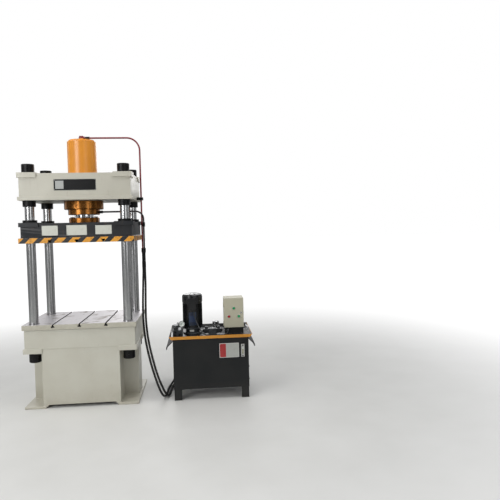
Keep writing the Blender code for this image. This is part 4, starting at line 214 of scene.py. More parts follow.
@dataclass(frozen=True)
class Enamel(Finish):
    """Two-pack machine enamel, sprayed on filled steel.

    It flows out to a soft gloss with a faint orange peel. Dust greys it unevenly, hands and
    tools leave small scuffs, and near the floor it keeps a brown splash.
    """

    colour: str = "#B9B9AB"
    grime: str = "#6E675A"
    roughness: float = 0.36
    peel_mm: float = 3.0
    peel: float = 0.05
    splash_m: float = 0.0
    dust: float = 0.1
    stain: float = 0.0
    specular: float = 0.5

    def build(self) -> bpy.types.Material:
        """Build the enamel with its tone, scuffs, splash and orange peel."""
        g = Graph(self.name)
        # Light and heavy patches of the spray pattern, about a hand wide.
        cloud = g.add("TexNoise", {"Scale": per_mm(240), "Detail": 3.0})
        tone = g.add("MapRange", (cloud, 0.35, 0.65, 0.0, self.dust))
        # Scuffs from handling: short marks a few millimetres wide.
        drawn = g.add("Mapping", {"Scale": (1.0, 1.0, 0.35)})
        scuff = g.add(
            "TexNoise", {"Vector": drawn, "Scale": per_mm(26), "Detail": 6.0, "Roughness": 0.62})
        mark = g.add("MapRange", (scuff, 0.66, 0.76, 0.0, 0.35))
        layers = [(tone, self.grime), (mark, self.grime)]
        if self.splash_m:
            # Mop water and oil mist that dried near the floor.
            height = g.add("SeparateXYZ", out="Z")
            patch = g.add("TexNoise", {"Scale": per_mm(45), "Detail": 8.0, "Roughness": 0.7})
            low = g.add("MapRange", (height, 0.0, self.splash_m, 0.62, 0.0))
            layers.append((g.add("Math", (low, patch), operation="MULTIPLY"), self.grime))
        if self.stain:
            # Oil that ran down in thin lines and dried.
            run = g.add("Mapping", {"Scale": (1.0, 1.0, 0.12)})
            drip = g.add("TexNoise", {"Vector": run, "Scale": per_mm(22), "Detail": 4.0})
            line = g.add("MapRange", (drip, 0.6, 0.72, 0.0, self.stain))
            layers.append((line, "#7A5526"))
        gloss = g.add("MapRange", (cloud, 0.3, 0.7, self.roughness - 0.05, self.roughness + 0.08))
        peel = g.add("TexNoise", {"Scale": per_mm(self.peel_mm), "Detail": 1.0})
        # Filler and weld pull leave the plate a little wavy over a hand's width.
        wave = g.add("TexNoise", {"Scale": per_mm(180), "Detail": 1.0})
        sway = g.add("Bump", {"Height": wave, "Strength": 0.25, "Distance": 0.002})
        bump = g.add(
            "Bump", {"Height": peel, "Strength": self.peel, "Distance": 0.001, "Normal": sway})
        return g.finish(
            self.colour, *layers, Roughness=gloss, Normal=bump, Coat_Roughness=0.18,
            Specular_IOR_Level=self.specular, Coat_Weight=0.24 * self.specular)


@dataclass(frozen=True)
class HazardBand(Finish):
    """Yellow bars masked and sprayed over dark enamel along the moving plate's edges.

    The bars lean to the right, their edges bleed a little under the tape, and old grease
    lies over them in dark smears.
    """

    yellow: str = "#DE9A2E"
    black: str = "#1B1D20"
    pitch_m: float = 0.123
    yellow_share: float = 0.55
    phase_m: float = -0.391
    mid_z: float = 1.5135
    front_m: float = 0.345

    def build(self) -> bpy.types.Material:
        """Build the slanted bars from the piece's own coordinates."""
        g = Graph(self.name)
        x = g.add("SeparateXYZ", out="X")
        y = g.add("SeparateXYZ", out="Y")
        z = g.add("SeparateXYZ", out="Z")
        across = g.add("Math", (x, y), operation="ADD")
        lean = g.add("Math", (across, z), operation="SUBTRACT")
        # The bars are set out on the front face, which stands in front of the press's axis.
        start = self.phase_m - self.mid_z - self.pitch_m * self.yellow_share / 2
        moved = g.add("Math", (lean, self.front_m - start), operation="ADD")
        bars = g.add("Math", (moved, 1 / self.pitch_m), operation="MULTIPLY")
        bleed = g.add("TexNoise", {"Scale": per_mm(5), "Detail": 2.0})
        soft = g.add("MapRange", (bleed, 0.0, 1.0, -0.008, 0.008))
        ragged = g.add("Math", (bars, soft), operation="ADD")
        turn = g.add("Math", (ragged,), operation="FRACT")
        bar = g.add("Math", (turn, self.yellow_share), operation="LESS_THAN")
        grease = g.add("TexNoise", {"Scale": per_mm(38), "Detail": 6.0, "Roughness": 0.65})
        smear = g.add("MapRange", (grease, 0.52, 0.72, 0.0, 0.55))
        peel = g.add("TexNoise", {"Scale": per_mm(3), "Detail": 1.0})
        bump = g.add("Bump", {"Height": peel, "Strength": 0.06, "Distance": 0.001})
        return g.finish(
            self.black, (bar, self.yellow), (smear, "#33302A"), Roughness=0.42, Normal=bump)


@dataclass(frozen=True)
class MachinedSteel(Finish):
    """Bare low-alloy steel left from the lathe, the planer or the grinder.

    The tool leaves fine parallel marks that stretch each highlight across them. Handling
    oil dries on it as brown and grey patches that are rougher than the metal.
    """

    colour: str = "#9C9C9A"
    film: str = "#4A3A28"
    roughness: float = 0.3
    film_share: float = 0.3
    mark_mm: float = 2.0
    mark: float = 0.1
    patch_mm: float = 60.0
    lay: Lay = Lay.ROUND

    def build(self) -> bpy.types.Material:
        """Build the metal with its tool marks and its film of old oil."""
        g = Graph(self.name)
        if self.lay is Lay.ROUND:
            # One spiral mark runs round the outside and across the end faces.
            flat = g.add("VectorMath", (g.place, (1.0, 1.0, 0.0)), operation="MULTIPLY")
            reach = g.add("VectorMath", (flat,), "Value", operation="LENGTH")
            height = g.add("SeparateXYZ", out="Z")
            along = g.add("Math", (reach, height), operation="ADD")
            line = g.add("CombineXYZ", {"X": along})
            marks = g.add(
                "TexNoise", {"Vector": line, "Scale": per_mm(self.mark_mm), "Detail": 3.0})
        else:
            drawn = g.add("Mapping", {"Scale": (1.0, 0.012, 1.0)})
            marks = g.add(
                "TexNoise", {"Vector": drawn, "Scale": per_mm(self.mark_mm), "Detail": 3.0})
        patch = g.add(
            "TexNoise",
            {"Scale": per_mm(self.patch_mm), "Detail": 7.0, "Roughness": 0.62, "Distortion": 0.4})
        film = g.add(
            "MapRange", (patch, 0.66 - self.film_share / 2, 0.8 - self.film_share / 2, 0.0, 0.85))
        tint = g.add("MapRange", (marks, 0.3, 0.7, 0.0, 0.22))
        rough = g.add("MapRange", (film, 0.0, 0.85, self.roughness, self.roughness + 0.22))
        bump = g.add("Bump", {"Height": marks, "Strength": self.mark, "Distance": 0.0006})
        return g.finish(
            self.colour, (tint, self.film), (film, self.film), Metallic=1.0, Roughness=rough,
            Normal=bump)


@dataclass(frozen=True)
class HardChrome(Finish):
    """Hard chrome plate, ground and polished on the rod: a near mirror with a blue cast."""

    colour: str = "#D5D8DC"
    roughness: float = 0.07

    def build(self) -> bpy.types.Material:
        """Build the plate with a thin wiped film of oil."""
        g = Graph(self.name)
        wipe = g.add("TexNoise", {"Scale": per_mm(70), "Detail": 4.0})
        rough = g.add("MapRange", (wipe, 0.4, 0.7, self.roughness, self.roughness + 0.1))
        return g.finish(self.colour, Metallic=1.0, Roughness=rough)


@dataclass(frozen=True)
class BlackOxide(Finish):
    """Hot blackened steel wiped with oil: near black, satin, brown where it wears thin."""

    colour: str = "#1C1C1D"
    worn: str = "#5A5752"
    roughness: float = 0.4

    def build(self) -> bpy.types.Material:
        """Build the oxide with its worn flecks."""
        g = Graph(self.name)
        fleck = g.add("TexNoise", {"Scale": per_mm(11), "Detail": 6.0, "Roughness": 0.6})
        thin = g.add("MapRange", (fleck, 0.6, 0.74, 0.0, 0.5))
        rough = g.add("MapRange", (fleck, 0.3, 0.7, self.roughness - 0.07, self.roughness + 0.12))
        bump = g.add("Bump", {"Height": fleck, "Strength": 0.08, "Distance": 0.0006})
        return g.finish(self.colour, (thin, self.worn), Metallic=0.75, Roughness=rough, Normal=bump)


@dataclass(frozen=True)
class Casting(Finish):
    """Grey iron from a sand mould under a thin coat: pitted, dull, oily in the hollows."""

    colour: str = "#4C4E50"
    metallic: float = 0.35
    roughness: float = 0.46
    grain_mm: float = 2.2
    grain: float = 0.35

    def build(self) -> bpy.types.Material:
        """Build the casting with its sand grain."""
        g = Graph(self.name)
        grain = g.add("TexNoise", {"Scale": per_mm(self.grain_mm), "Detail": 4.0})
        oil = g.add("TexNoise", {"Scale": per_mm(35), "Detail": 4.0})
        dark = g.add("MapRange", (oil, 0.4, 0.7, 0.0, 0.55))
        rough = g.add("MapRange", (oil, 0.4, 0.7, self.roughness, self.roughness - 0.16))
        bump = g.add("Bump", {"Height": grain, "Strength": self.grain, "Distance": 0.0007})
        return g.finish(
            self.colour, (dark, "#17181A"), Metallic=self.metallic, Roughness=rough, Normal=bump)


@dataclass(frozen=True)
class Rubber(Finish):
    """Synthetic rubber hose cover, wrapped in cloth while it cured, greyed by dust."""

    colour: str = "#141415"
    dust: str = "#55524B"
    roughness: float = 0.58

    def build(self) -> bpy.types.Material:
        """Build the cover with its wrap marks and dust."""
        g = Graph(self.name)
        patch = g.add("TexNoise", {"Scale": per_mm(30), "Detail": 6.0})
        dusty = g.add("MapRange", (patch, 0.5, 0.75, 0.0, 0.45))
        weave = g.add("TexNoise", {"Scale": per_mm(1.5)})
        bump = g.add("Bump", {"Height": weave, "Strength": 0.2, "Distance": 0.0004})
        return g.finish(self.colour, (dusty, self.dust), Roughness=self.roughness, Normal=bump)


@dataclass(frozen=True)
class Moulding(Finish):
    """Injection-moulded plastic: one colour right through, a fine even texture."""

    colour: str = "#202124"
    roughness: float = 0.38
    grain_mm: float = 0.9

    def build(self) -> bpy.types.Material:
        """Build the plastic with its mould grain."""
        g = Graph(self.name)
        cloud = g.add("TexNoise", {"Scale": per_mm(18), "Detail": 3.0})
        tone = g.add("MapRange", (cloud, 0.35, 0.7, 0.0, 0.22))
        grain = g.add("TexNoise", {"Scale": per_mm(self.grain_mm)})
        bump = g.add("Bump", {"Height": grain, "Strength": 0.08, "Distance": 0.0003})
        return g.finish(self.colour, (tone, "#15130F"), Roughness=self.roughness, Normal=bump)


@dataclass(frozen=True)
class PlateFilm(Finish):
    """Bare printed foil on a thin metal plate: one or two plain fields inside a rim."""

    colour: str = "#D9DAD4"
    field_colour: str = ""
    field: Triple = (-9.0, -9.0, 0.0)
    rim: str = "#8C8E8C"
    half: Pair = (0.05, 0.03)
    rim_m: float = 0.003
    roughness: float = 0.3
    soil: float = 0.25
    specular: float = 0.5

    def build(self) -> bpy.types.Material:
        """Build the fields, the rim and a little soiling."""
        g = Graph(self.name)
        x = g.add("SeparateXYZ", out="X")
        z = g.add("SeparateXYZ", out="Z")
        left, right, half_z = self.field
        inside = g.add("Math", (x, (left + right) / 2, (right - left) / 2), operation="COMPARE")
        level = g.add("Math", (z, 0.0, half_z), operation="COMPARE")
        first = g.add("Math", (inside, level), operation="MULTIPLY")
        layers = [(first, self.field_colour or self.colour)]
        for axis, half in ((x, self.half[0]), (z, self.half[1])):
            away = g.add("Math", (axis,), operation="ABSOLUTE")
            edge = g.add("Math", (away, half - self.rim_m), operation="GREATER_THAN")
            layers.append((edge, self.rim))
        patch = g.add("TexNoise", {"Scale": per_mm(30), "Detail": 6.0, "Roughness": 0.65})
        soil = g.add("MapRange", (patch, 0.5, 0.75, 0.0, self.soil))
        rough = g.add("MapRange", (patch, 0.4, 0.7, self.roughness, self.roughness + 0.2))
        return g.finish(
            self.colour, *layers, (soil, "#57503F"), Roughness=rough,
            Specular_IOR_Level=self.specular)


@dataclass(frozen=True)
class OilyLid(Finish):
    """Black enamel under a spilt film of oil: mirror-smooth pools between dusty patches."""

    colour: str = "#17181A"
    dust: str = "#4E4A41"

    def build(self) -> bpy.types.Material:
        """Build the pools and the dust that the oil has caught."""
        g = Graph(self.name)
        pool = g.add("TexNoise", {"Scale": per_mm(210), "Detail": 5.0, "Distortion": 0.6})
        dry = g.add("MapRange", (pool, 0.5, 0.66, 0.0, 0.45))
        rough = g.add("MapRange", (dry, 0.0, 0.45, 0.2, 0.55))
        return g.finish(
            self.colour, (dry, self.dust), Roughness=rough, Coat_Weight=0.08, Coat_Roughness=0.2)


@dataclass(frozen=True)
class ClearGlass(Finish):
    """Flat float glass or clear acrylic, clean enough to show only by its reflections."""

    ior: float = 1.5

    def build(self) -> bpy.types.Material:
        """Build the clear pane with a few wiped streaks."""
        g = Graph(self.name)
        wipe = g.add("TexNoise", {"Scale": per_mm(14), "Detail": 3.0})
        rough = g.add("MapRange", (wipe, 0.45, 0.7, 0.0, 0.03))
        # Lamp light reaches what is behind the pane, as it does through thin glass.
        lamp = g.add("LightPath", out="Is Shadow Ray")
        solid = g.add("Math", (1.0, lamp), operation="SUBTRACT")
        return g.finish(
            "#F2F7F6", Roughness=rough, IOR=self.ior, Transmission_Weight=1.0, Alpha=solid)


FRAME_ENAMEL = Enamel(
    "grey_machine_enamel", "frame_paint", "#C2C0B3", "#8C8169", 0.4, dust=0.14, splash_m=0.2)
CROWN_ENAMEL = Enamel(
    "grey_crown_enamel", "frame_paint", "#BBB8AA", "#7D7565", 0.4, dust=0.12, stain=0.1)
SLIDE_ENAMEL = Enamel(
    "dark_slide_enamel", "slide_paint", "#1E2125", "#45423C", 0.4, dust=0.16, stain=0.1,
    specular=0.3)
CYLINDER_ENAMEL = Enamel(
    "yellow_cylinder_enamel", "cylinder_paint", "#DB8E2C", "#9A5F1E", 0.34, dust=0.2)
TANK_ENAMEL = Enamel(
    "black_tank_enamel", "tank_paint", "#101315", "#3C3A36", 0.42, dust=0.12, splash_m=0.16,
    specular=0.3)
ELBOW_ENAMEL = Enamel("maroon_elbow_enamel", "black_oxide", "#7E1E28", "#4A2A28", 0.36, dust=0.25)
RIM_ENAMEL = Enamel("yellow_rim_enamel", "tray_paint", "#DE952C", "#8A6020", 0.38, dust=0.2)
PIPE_ENAMEL = Enamel("maroon_pipe_enamel", "pipe_paint", "#7E1522", "#4A2A28", 0.34, dust=0.25)
# The maroon pipe paint darkened to near black: painted shade, the pipe from the gland as it looks
# in the shade under the crown. The valve outlets share it.
SHADED_MAROON_PIPE = Enamel("black_pipe_enamel", "pipe_paint", "#241A1B", "#45423C", 0.4, dust=0.25)
MOTOR_ENAMEL = Enamel(
    "gloss_motor_enamel", "motor_paint", "#0F1012", "#3A3A38", 0.17, dust=0.08, peel=0.03)
BOX_POWDER = Enamel(
    "beige_powder_coat", "box_paint", "#B7B39D", "#7C7462", 0.48, peel_mm=1.6, peel=0.14)
HAZARD = HazardBand("hazard_bars", "ground_steel")
GROUND_TOP = MachinedSteel(
    "ground_plate_steel", "ground_steel", "#CBC8CB", "#7A6F60", 0.44, film_share=0.2, mark_mm=1.6,
    patch_mm=110.0, lay=Lay.ALONG_Y)
# The slots' milled steel is near black: partly the oil in the slots, partly painted shade down in
# the recesses.
SHADED_SLOT_STEEL = MachinedSteel(
    "milled_slot_steel", "ground_steel", "#24221F", "#17150F", 0.5, film_share=0.5, mark_mm=1.2,
    lay=Lay.ALONG_Y)
COLUMN_STEEL = MachinedSteel(
    "ground_column_steel", "polished_column", "#BFC0C1", "#66625B", 0.24, film_share=0.04,
    mark_mm=1.4, mark=0.012, patch_mm=140.0)
RING_STEEL = MachinedSteel(
    "oil_stained_ring_steel", "oily_steel", "#A06A34", "#5A3415", 0.27, film_share=0.3, mark_mm=1.5,
    mark=0.04, patch_mm=120.0)
SHAFT_STEEL = MachinedSteel(
    "turned_shaft_steel", "oily_steel", "#8C8C8A", "#3A3024", 0.28, film_share=0.25)
BRIGHT_STEEL = MachinedSteel(
    "zinc_plated_steel", "chrome", "#C9CACB", "#7A7468", 0.22, film_share=0.12, patch_mm=12.0)
LEVEL_ALLOY = MachinedSteel(
    "die_cast_level_alloy", "cast_grey", "#D2D3D2", "#8A867C", 0.42, film_share=0.1, patch_mm=12.0)
STRAINER_MESH = MachinedSteel(
    "woven_strainer_wire", "filter_mesh", "#A09C90", "#4A3C22", 0.4, film_share=0.35, patch_mm=15.0)
ROD_CHROME = HardChrome("hard_chrome_plate", "chrome")
OXIDE = BlackOxide("blackened_steel", "black_oxide")
VALVE_IRON = Casting("valve_casting_iron", "cast_grey")
SUBPLATE_IRON = Casting(
    "machined_valve_block", "cast_grey", metallic=0.6, roughness=0.42, grain=0.12)
HOSE_RUBBER = Rubber("hose_rubber", "hose_rubber")
GUARD_PLASTIC = Moulding("spiral_guard_plastic", "hose_rubber", "#2A2B2D", 0.5)
BLACK_PLASTIC = Moulding("black_moulding", "relay_plastic", "#1D1E20", 0.42)
GREY_PLASTIC = Moulding("grey_switchgear_moulding", "relay_plastic", "#6C6E6C", 0.5)
WHITE_PLASTIC = Moulding("white_terminal_moulding", "relay_plastic", "#CFCFC8", 0.45)
GREEN_PLASTIC = Moulding("green_button_moulding", "green_plastic", "#1F9A5B", 0.26)
RED_PLASTIC = Moulding("red_button_moulding", "red_plastic", "#B3202A", 0.26)
OIL_COLUMN = Moulding("straw_oil_column", "dial_white", "#A9A084", 0.3)
DIAL_FACE = Moulding("white_dial_enamel", "dial_white", "#ECECE6", 0.35)
POINTER_BLACK = Moulding("black_pointer_lacquer", "pointer_black", "#121212", 0.4)
OILY_LID = OilyLid("oiled_lid_enamel", "tray_paint")
PANE = ClearGlass("gauge_pane", "clear_glass")


def add_object(name: str, data: bpy.types.ID) -> bpy.types.Object:
    """Add an object with this data to the scene."""
    made = bpy.data.objects.new(name, data)
    bpy.context.scene.collection.objects.link(made)
    return made


def corners(half_x: float, half_y: float) -> Iterator[Pair]:
    """Give the four corners of a rectangle round zero, the front left one first."""
    for y in (-half_y, half_y):
        for x in (-half_x, half_x):
            yield x, y


def round_axis(count: int, radius: float, z: float, phase: float = 0.5) -> Iterator[Vector]:
    """Give places at even steps round the Z axis.

    Args:
        count: Number of places.
        radius: Their distance from the axis.
        z: Their height.
        phase: Where the first one lies, as a share of a step.

    Yields:
        Each place.
    """
    for step in range(count):
        angle = math.tau * (step + phase) / count
        yield Vector((radius * math.cos(angle), radius * math.sin(angle), z))


def spoke(angle: float, near: float, far: float, root: float, tip: float) -> list[Vector]:
    """Return the outline of a bar that points away from an axis.

    Args:
        angle: Where it points.
        near: Distance of its inner end from the axis.
        far: Distance of its outer end.
        root: Half its width at the inner end.
        tip: Half its width at the outer end.

    Returns:
        Its four corners.
    """
    out = Vector((math.cos(angle), math.sin(angle)))
    side = Vector((-out.y, out.x))
    return [
        out * near - side * root, out * far - side * tip, out * far + side * tip,
        out * near + side * root]


class Shape:
    """Mesh of one piece in the making, drawn round the piece's own place."""

    def __init__(self) -> None:
        """Start with no faces, painted with the piece's first finish."""
        self.bm = bmesh.new()
        self.paint = 0

    def _close(self, faces: Iterable[bmesh.types.BMFace], bevel: float, segments: int) -> None:
        """Paint new faces and round the sharp edges between them.

        Args:
            faces: The faces just made.
            bevel: Width of the rounding.
            segments: Steps of the rounding.
        """
        faces = list(faces)
        bmesh.ops.recalc_face_normals(self.bm, faces=faces)
        for face in faces:
            face.material_index = self.paint
        if bevel:
            edges = {edge for face in faces for edge in face.edges if len(edge.link_faces) == 2}
            self.soften(edges, bevel, segments)

    def soften(self, edges: Iterable[bmesh.types.BMEdge], width: float, segments: int = 2) -> None:
        """Round those of some edges that are sharp."""
        sharp = [edge for edge in edges if edge.calc_face_angle(0) > SMOOTH_BELOW]
        bmesh.ops.bevel(
            self.bm, geom=sharp, offset=width, segments=segments, profile=0.6, affect="EDGES",
            clamp_overlap=True)

    def prism(
            self, outline: Outline, start: float, end: float, way: str = "Z",
            bevel: float = 0.0, segments: int = 2) -> None:
        """Add a straight bar of one cross-section.

        Args:
            outline: Corners as (u, v) across the bar.
            start: Where the bar begins.
            end: Where it ends.
            way: Axis along which it runs.
            bevel: Width of its rounded edges.
            segments: Steps of the rounding.
        """
        lay = {
            "X": lambda u, v, t: (t, u, v), "Y": lambda u, v, t: (u, t, v), "Z": lambda *p: p}[way]
        low = [self.bm.verts.new(lay(u, v, start)) for u, v in outline]
        high = [self.bm.verts.new(lay(u, v, end)) for u, v in outline]
        faces = [self.bm.faces.new(low), self.bm.faces.new(high)]
        for index in range(len(low)):
            follow = (index + 1) % len(low)
            faces.append(self.bm.faces.new((low[index], low[follow], high[follow], high[index])))
        self._close(faces, bevel, segments)

    def block(self, low: Point, high: Point, bevel: float = 0.001, segments: int = 2) -> None:
        """Add a block between two corners with rounded edges."""
        self.prism([
            (low[0], low[1]), (high[0], low[1]), (high[0], high[1]),
            (low[0], high[1])], low[2], high[2], "Z", bevel, segments)

    def turned(
            self, profile: Outline, at: Point = (0, 0, 0), axis: Axis = Axis.Z,
            sides: int = 48, bevel: float = 0.0) -> None:
        """Add a turned shape.

        Args:
            profile: (radius, height) points; a profile that leaves the axis free is a ring.
            at: Foot of the shape.
            axis: Where its height points.
            sides: Steps round the axis; six make a hexagon.
            bevel: Width of its rounded edges.
        """
        turn = Matrix.Translation(at) @ axis.value
        rings = []
        for radius, height in profile:
            ring = round_axis(sides if radius > 1e-7 else 1, radius, height, 0.0)
            rings.append([self.bm.verts.new(turn @ place) for place in ring])
        pairs = list(zip(rings, rings[1:]))
        if len(rings[0]) > 1 and len(rings[-1]) > 1:
            pairs.append((rings[-1], rings[0]))
        faces = []
        for low, high in pairs:
            for step in range(sides):
                follow = (step + 1) % sides
                quad = [
                    low[step % len(low)], low[follow % len(low)], high[follow % len(high)],
                    high[step % len(high)]]
                unique = list(dict.fromkeys(quad))
                if len(unique) > 2:
                    faces.append(self.bm.faces.new(unique))
        self._close(faces, bevel, 2)

    def rod(
            self, radius: float, start: float, end: float, at: Point = (0, 0, 0),
            axis: Axis = Axis.Z, sides: int = 32, edge: float = 0.0008) -> None:
        """Add a round bar with chamfered ends along an axis."""
        self.turned([
            (0, start), (radius - edge, start), (radius, start + edge), (radius, end - edge),
            (radius - edge, end), (0, end)], at, axis, sides)

    def hex_screw(
            self, at: Point, axis: Axis, radius: float, height: float, washer: bool = True) -> None:
        """Add a hexagon head with its rounded crown, on a washer if it has one."""
        foot = 0.0
        if washer:
            self.rod(radius * 1.22, 0.0, radius * 0.18, at, axis, 24, 0.0003)
            foot = radius * 0.17
        self.turned([
            (0, foot), (radius, foot), (radius, height * 0.86), (radius * 0.88, height),
            (0, height)], at, axis, 6, radius * 0.04)

    def socket_screw(self, at: Point, axis: Axis, radius: float, height: float) -> None:
        """Add a cap screw: a round head with a pit for the key."""
        pit = radius * 0.52
        self.turned([
            (0, 0), (radius, 0), (radius, height * 0.85), (radius * 0.88, height), (pit, height),
            (pit, height * 0.35), (0, height * 0.3)], at, axis, 24)

    def tube(
            self, points: Sequence[Point], radius: float | Sequence[float],
            sides: int = 16) -> None:
        """Add a round tube along points, with flat ends and no twist.

        Args:
            points: Centre line.
            radius: One radius, or one for each point.
            sides: Steps round the tube.
        """
        line = [Vector(point) for point in points]
        radii = [radius] * len(line) if isinstance(radius, float) else list(radius)
        ahead = (line[1] - line[0]).normalized()
        across = ahead.orthogonal().normalized()
        rings = []
        for index, here in enumerate(line):
            before = line[max(index - 1, 0)]
            after = line[min(index + 1, len(line) - 1)]
            ahead = (after - before).normalized()
            across = (across - ahead * across.dot(ahead)).normalized()
            side = ahead.cross(across)
            rings.append([
                self.bm.verts.new(
                    here
                    + radii[index] * (
                        across * math.cos(math.tau * step / sides)
                        + side * math.sin(math.tau * step / sides)))
                for step in range(sides)])
        faces = [self.bm.faces.new(rings[0]), self.bm.faces.new(rings[-1])]
        for low, high in zip(rings, rings[1:]):
            for step in range(sides):
                follow = (step + 1) % sides
                faces.append(self.bm.faces.new((low[step], low[follow], high[follow], high[step])))
        self._close(faces, 0.0, 0)

    def bead(self, start: Point, end: Point, radius: float = 0.004) -> None:
        """Add a hand-laid weld bead: a half-sunk bar with the welder's ripples."""
        run = Vector(end) - Vector(start)
        steps = max(4, round(run.length / 0.003))
        points = [Vector(start) + run * step / steps for step in range(steps + 1)]
        radii = [
            radius * (0.86 + 0.14 * abs(math.sin(step * 1.31)) + 0.06 * math.sin(step * 0.37))
            for step in range(steps + 1)]
        self.tube(points, radii, 8)

    def cut(self, tool: Shape) -> None:
        """Take another shape out of this one.

        Args:
            tool: The shape that is taken away; it is used up.
        """
        made = []
        for shape in (self, tool):
            mesh = bpy.data.meshes.new("cut")
            shape.bm.to_mesh(mesh)
            shape.bm.free()
            made.append(add_object("cut", mesh))
        step = made[0].modifiers.new("cut", "BOOLEAN")
        step.operation, step.solver, step.object = "DIFFERENCE", "EXACT", made[1]
        view = bpy.context.evaluated_depsgraph_get()
        self.bm = bmesh.new()
        self.bm.from_object(made[0], view)
        for obj in made:
            mesh = obj.data
            bpy.data.objects.remove(obj, do_unlink=True)
            bpy.data.meshes.remove(mesh)

    def dress(self, chooser: Callable[[Vector, Vector], int]) -> None:
        """Give each face the finish that a function of its middle and its normal chooses."""
        self.bm.normal_update()
        for face in self.bm.faces:
            face.material_index = chooser(face.calc_center_median(), face.normal)

    def dress_plate(self, half: Pair, low: float, high: float) -> None:
        """Give the rim of a slotted plate its first finish, its faces the next, its slots the last.

        Args:
            half: Half its width and half its depth.
            low: Height of its lower flat face.
            high: Height of its upper flat face.
        """

        def choose(middle: Vector, normal: Vector) -> int:
            """Tell flat face, rim and slot apart, each to within two millimetres."""
            if abs(normal.z) > 0.7 and not low + 0.002 < middle.z < high - 0.002:
                return 1
            inside = abs(middle.x) <= half[0] - 0.002 and abs(middle.y) <= half[1] - 0.002
            return 2 if inside else 0

        self.dress(choose)


@dataclass
class Stand:
    """Shared base of the sub-assemblies: puts finished pieces into the frame.

    Attributes:
        frame: What the frame's load function returned.
        origin: Place of the group's centre line on the floor.
    """

    frame: dict[str, Any]
    origin: Vector

    def at(self, x: float, y: float, z: float = 0.0) -> Vector:
        """Return a place in the row frame from one in the group's own frame."""
        return self.origin + Vector((x, y, z))

    def node(self, name: str, place: Vector, bevel: float = 0.0, wall: Outline = ()) -> Shape:
        """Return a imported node's shape with its outer edges rounded.

        Args:
            name: Name of the node.
            place: Where the piece's own place will be.
            bevel: Width of the rounding.
            wall: (y, z) outline of what is milled off the front and the rear wall.

        Returns:
            The shape, moved to the piece's own place.
        """
        shape = Shape()
        shape.bm.from_mesh(self.frame["nodes"][name].data)
        for face in shape.bm.faces:
            face.material_index = 0
        bmesh.ops.translate(shape.bm, verts=shape.bm.verts, vec=-place)
        bmesh.ops.remove_doubles(shape.bm, verts=shape.bm.verts, dist=1e-6)
        if wall:
            bars = Shape()
            for side in (-1, 1):
                bars.prism([(side * y, z) for y, z in wall], -0.6, 0.6, "X")
            shape.cut(bars)
            bmesh.ops.remove_doubles(shape.bm, verts=shape.bm.verts, dist=1e-6)
        bmesh.ops.dissolve_limit(
            shape.bm, angle_limit=math.radians(0.6), verts=shape.bm.verts, edges=shape.bm.edges)
        if bevel:
            shape.soften([edge for edge in shape.bm.edges if edge.is_convex], bevel)
        return shape

    def put(
            self, name: str, shape: Shape, finishes: Finish | Sequence[Finish], place: Vector,
            body: str = "frame", node: str = "") -> bpy.types.Object:
        """Make a piece of a shape and hang it on its body.

        Args:
            name: Name of the piece.
            shape: Its mesh, round its own place.
            finishes: Its finish, or its finishes in the order of the faces' numbers.
            place: Its own place in the row frame.
            body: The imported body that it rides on.
            node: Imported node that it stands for, if there is one.

        Returns:
            The piece.
        """
        finishes = [finishes] if isinstance(finishes, Finish) else list(finishes)
        mesh = bpy.data.meshes.new(name)
        shape.bm.to_mesh(mesh)
        shape.bm.free()
        for finish in finishes:
            mesh.materials.append(finish.material())
        mesh.polygons.foreach_set("use_smooth", [True] * len(mesh.polygons))
        mesh.set_sharp_from_angle(angle=SMOOTH_BELOW)
        piece = add_object(name, mesh)
        piece.location = place
        # Large faces pull the normals, so a flat plate stays flat beside its rounded edge.
        even = piece.modifiers.new("face_normals", "WEIGHTED_NORMAL")
        even.keep_sharp = True
        even.weight = 60
        if node:
            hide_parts(node)
        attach(piece, body)
        LOG.info("%s: %d faces on %s", name, len(mesh.polygons), body)
        return piece

    def keep(
            self, name: str, node: str, bevel: float, finish: Finish, place: Vector,
            body: str = "frame") -> None:
        """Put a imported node's own shape as a piece, with its outer edges rounded."""
        self.put(name, self.node(node, place, bevel), finish, place, body, node)


@dataclass
class Bed(Stand):
    """Welded bed with its foot plates, and the slotted table on top."""

    bead_r: float = 0.0045
    core: Pair = (0.343, 0.345)
    arm: Pair = (0.483, 0.11)
    head: Pair = (0.487, 0.349)
    foot_z: float = 0.02
    shelf: Pair = (0.501, 0.54)
    foot_x: float = 0.316
    shelf_x: float = 0.336
    table_z: Pair = (0.7153, 0.7603)
    table_half: Pair = (0.501, 0.3625)

    def build(self) -> None:
        """Build the weldment, its beads and the table."""
        self.keep("bed_weldment", "bed", 0.003, FRAME_ENAMEL, self.origin)
        self.put("bed_weld_beads", self.beads(), FRAME_ENAMEL, self.origin)
        low, high = self.table_z
        place = self.at(0, 0, low)
        table = self.node("table_bolster", place, 0.0012)
        table.dress_plate(self.table_half, -1.0, high - low)
        self.put(
            "slotted_table", table, (FRAME_ENAMEL, GROUND_TOP, SHADED_SLOT_STEEL), place,
            node="table_bolster")

    def beads(self) -> Shape:
        """Return the weld beads where the plates of the bed meet."""
        beads = Shape()
        core_x, core_y = self.core
        arm_x, arm_y = self.arm
        head_x, head_y = self.head
        shelf_low, shelf_high = self.shelf
        thin_r = self.bead_r * 0.8
        for side, end in corners(1, 1):
            x, y = side * core_x, end * arm_y
            beads.bead((x, y, self.foot_z), (x, y, shelf_low), self.bead_r)
            for z in (self.foot_z, shelf_low):
                beads.bead((x, y, z), (x, end * core_y, z), self.bead_r)
                beads.bead((x, y, z), (side * arm_x, y, z), self.bead_r)
            y = end * head_y
            beads.bead((side * self.shelf_x, y, shelf_high), (side * head_x, y, shelf_high), thin_r)
            y = end * core_y
            beads.bead((side * self.foot_x, y, self.foot_z), (x, y, self.foot_z), self.bead_r)
        for x in (-head_x, head_x):
            beads.bead((x, -head_y, shelf_high), (x, head_y, shelf_high), thin_r)
        for x in (-arm_x, arm_x):
            beads.bead((x, -arm_y, self.foot_z), (x, arm_y, self.foot_z), self.bead_r)
        return beads


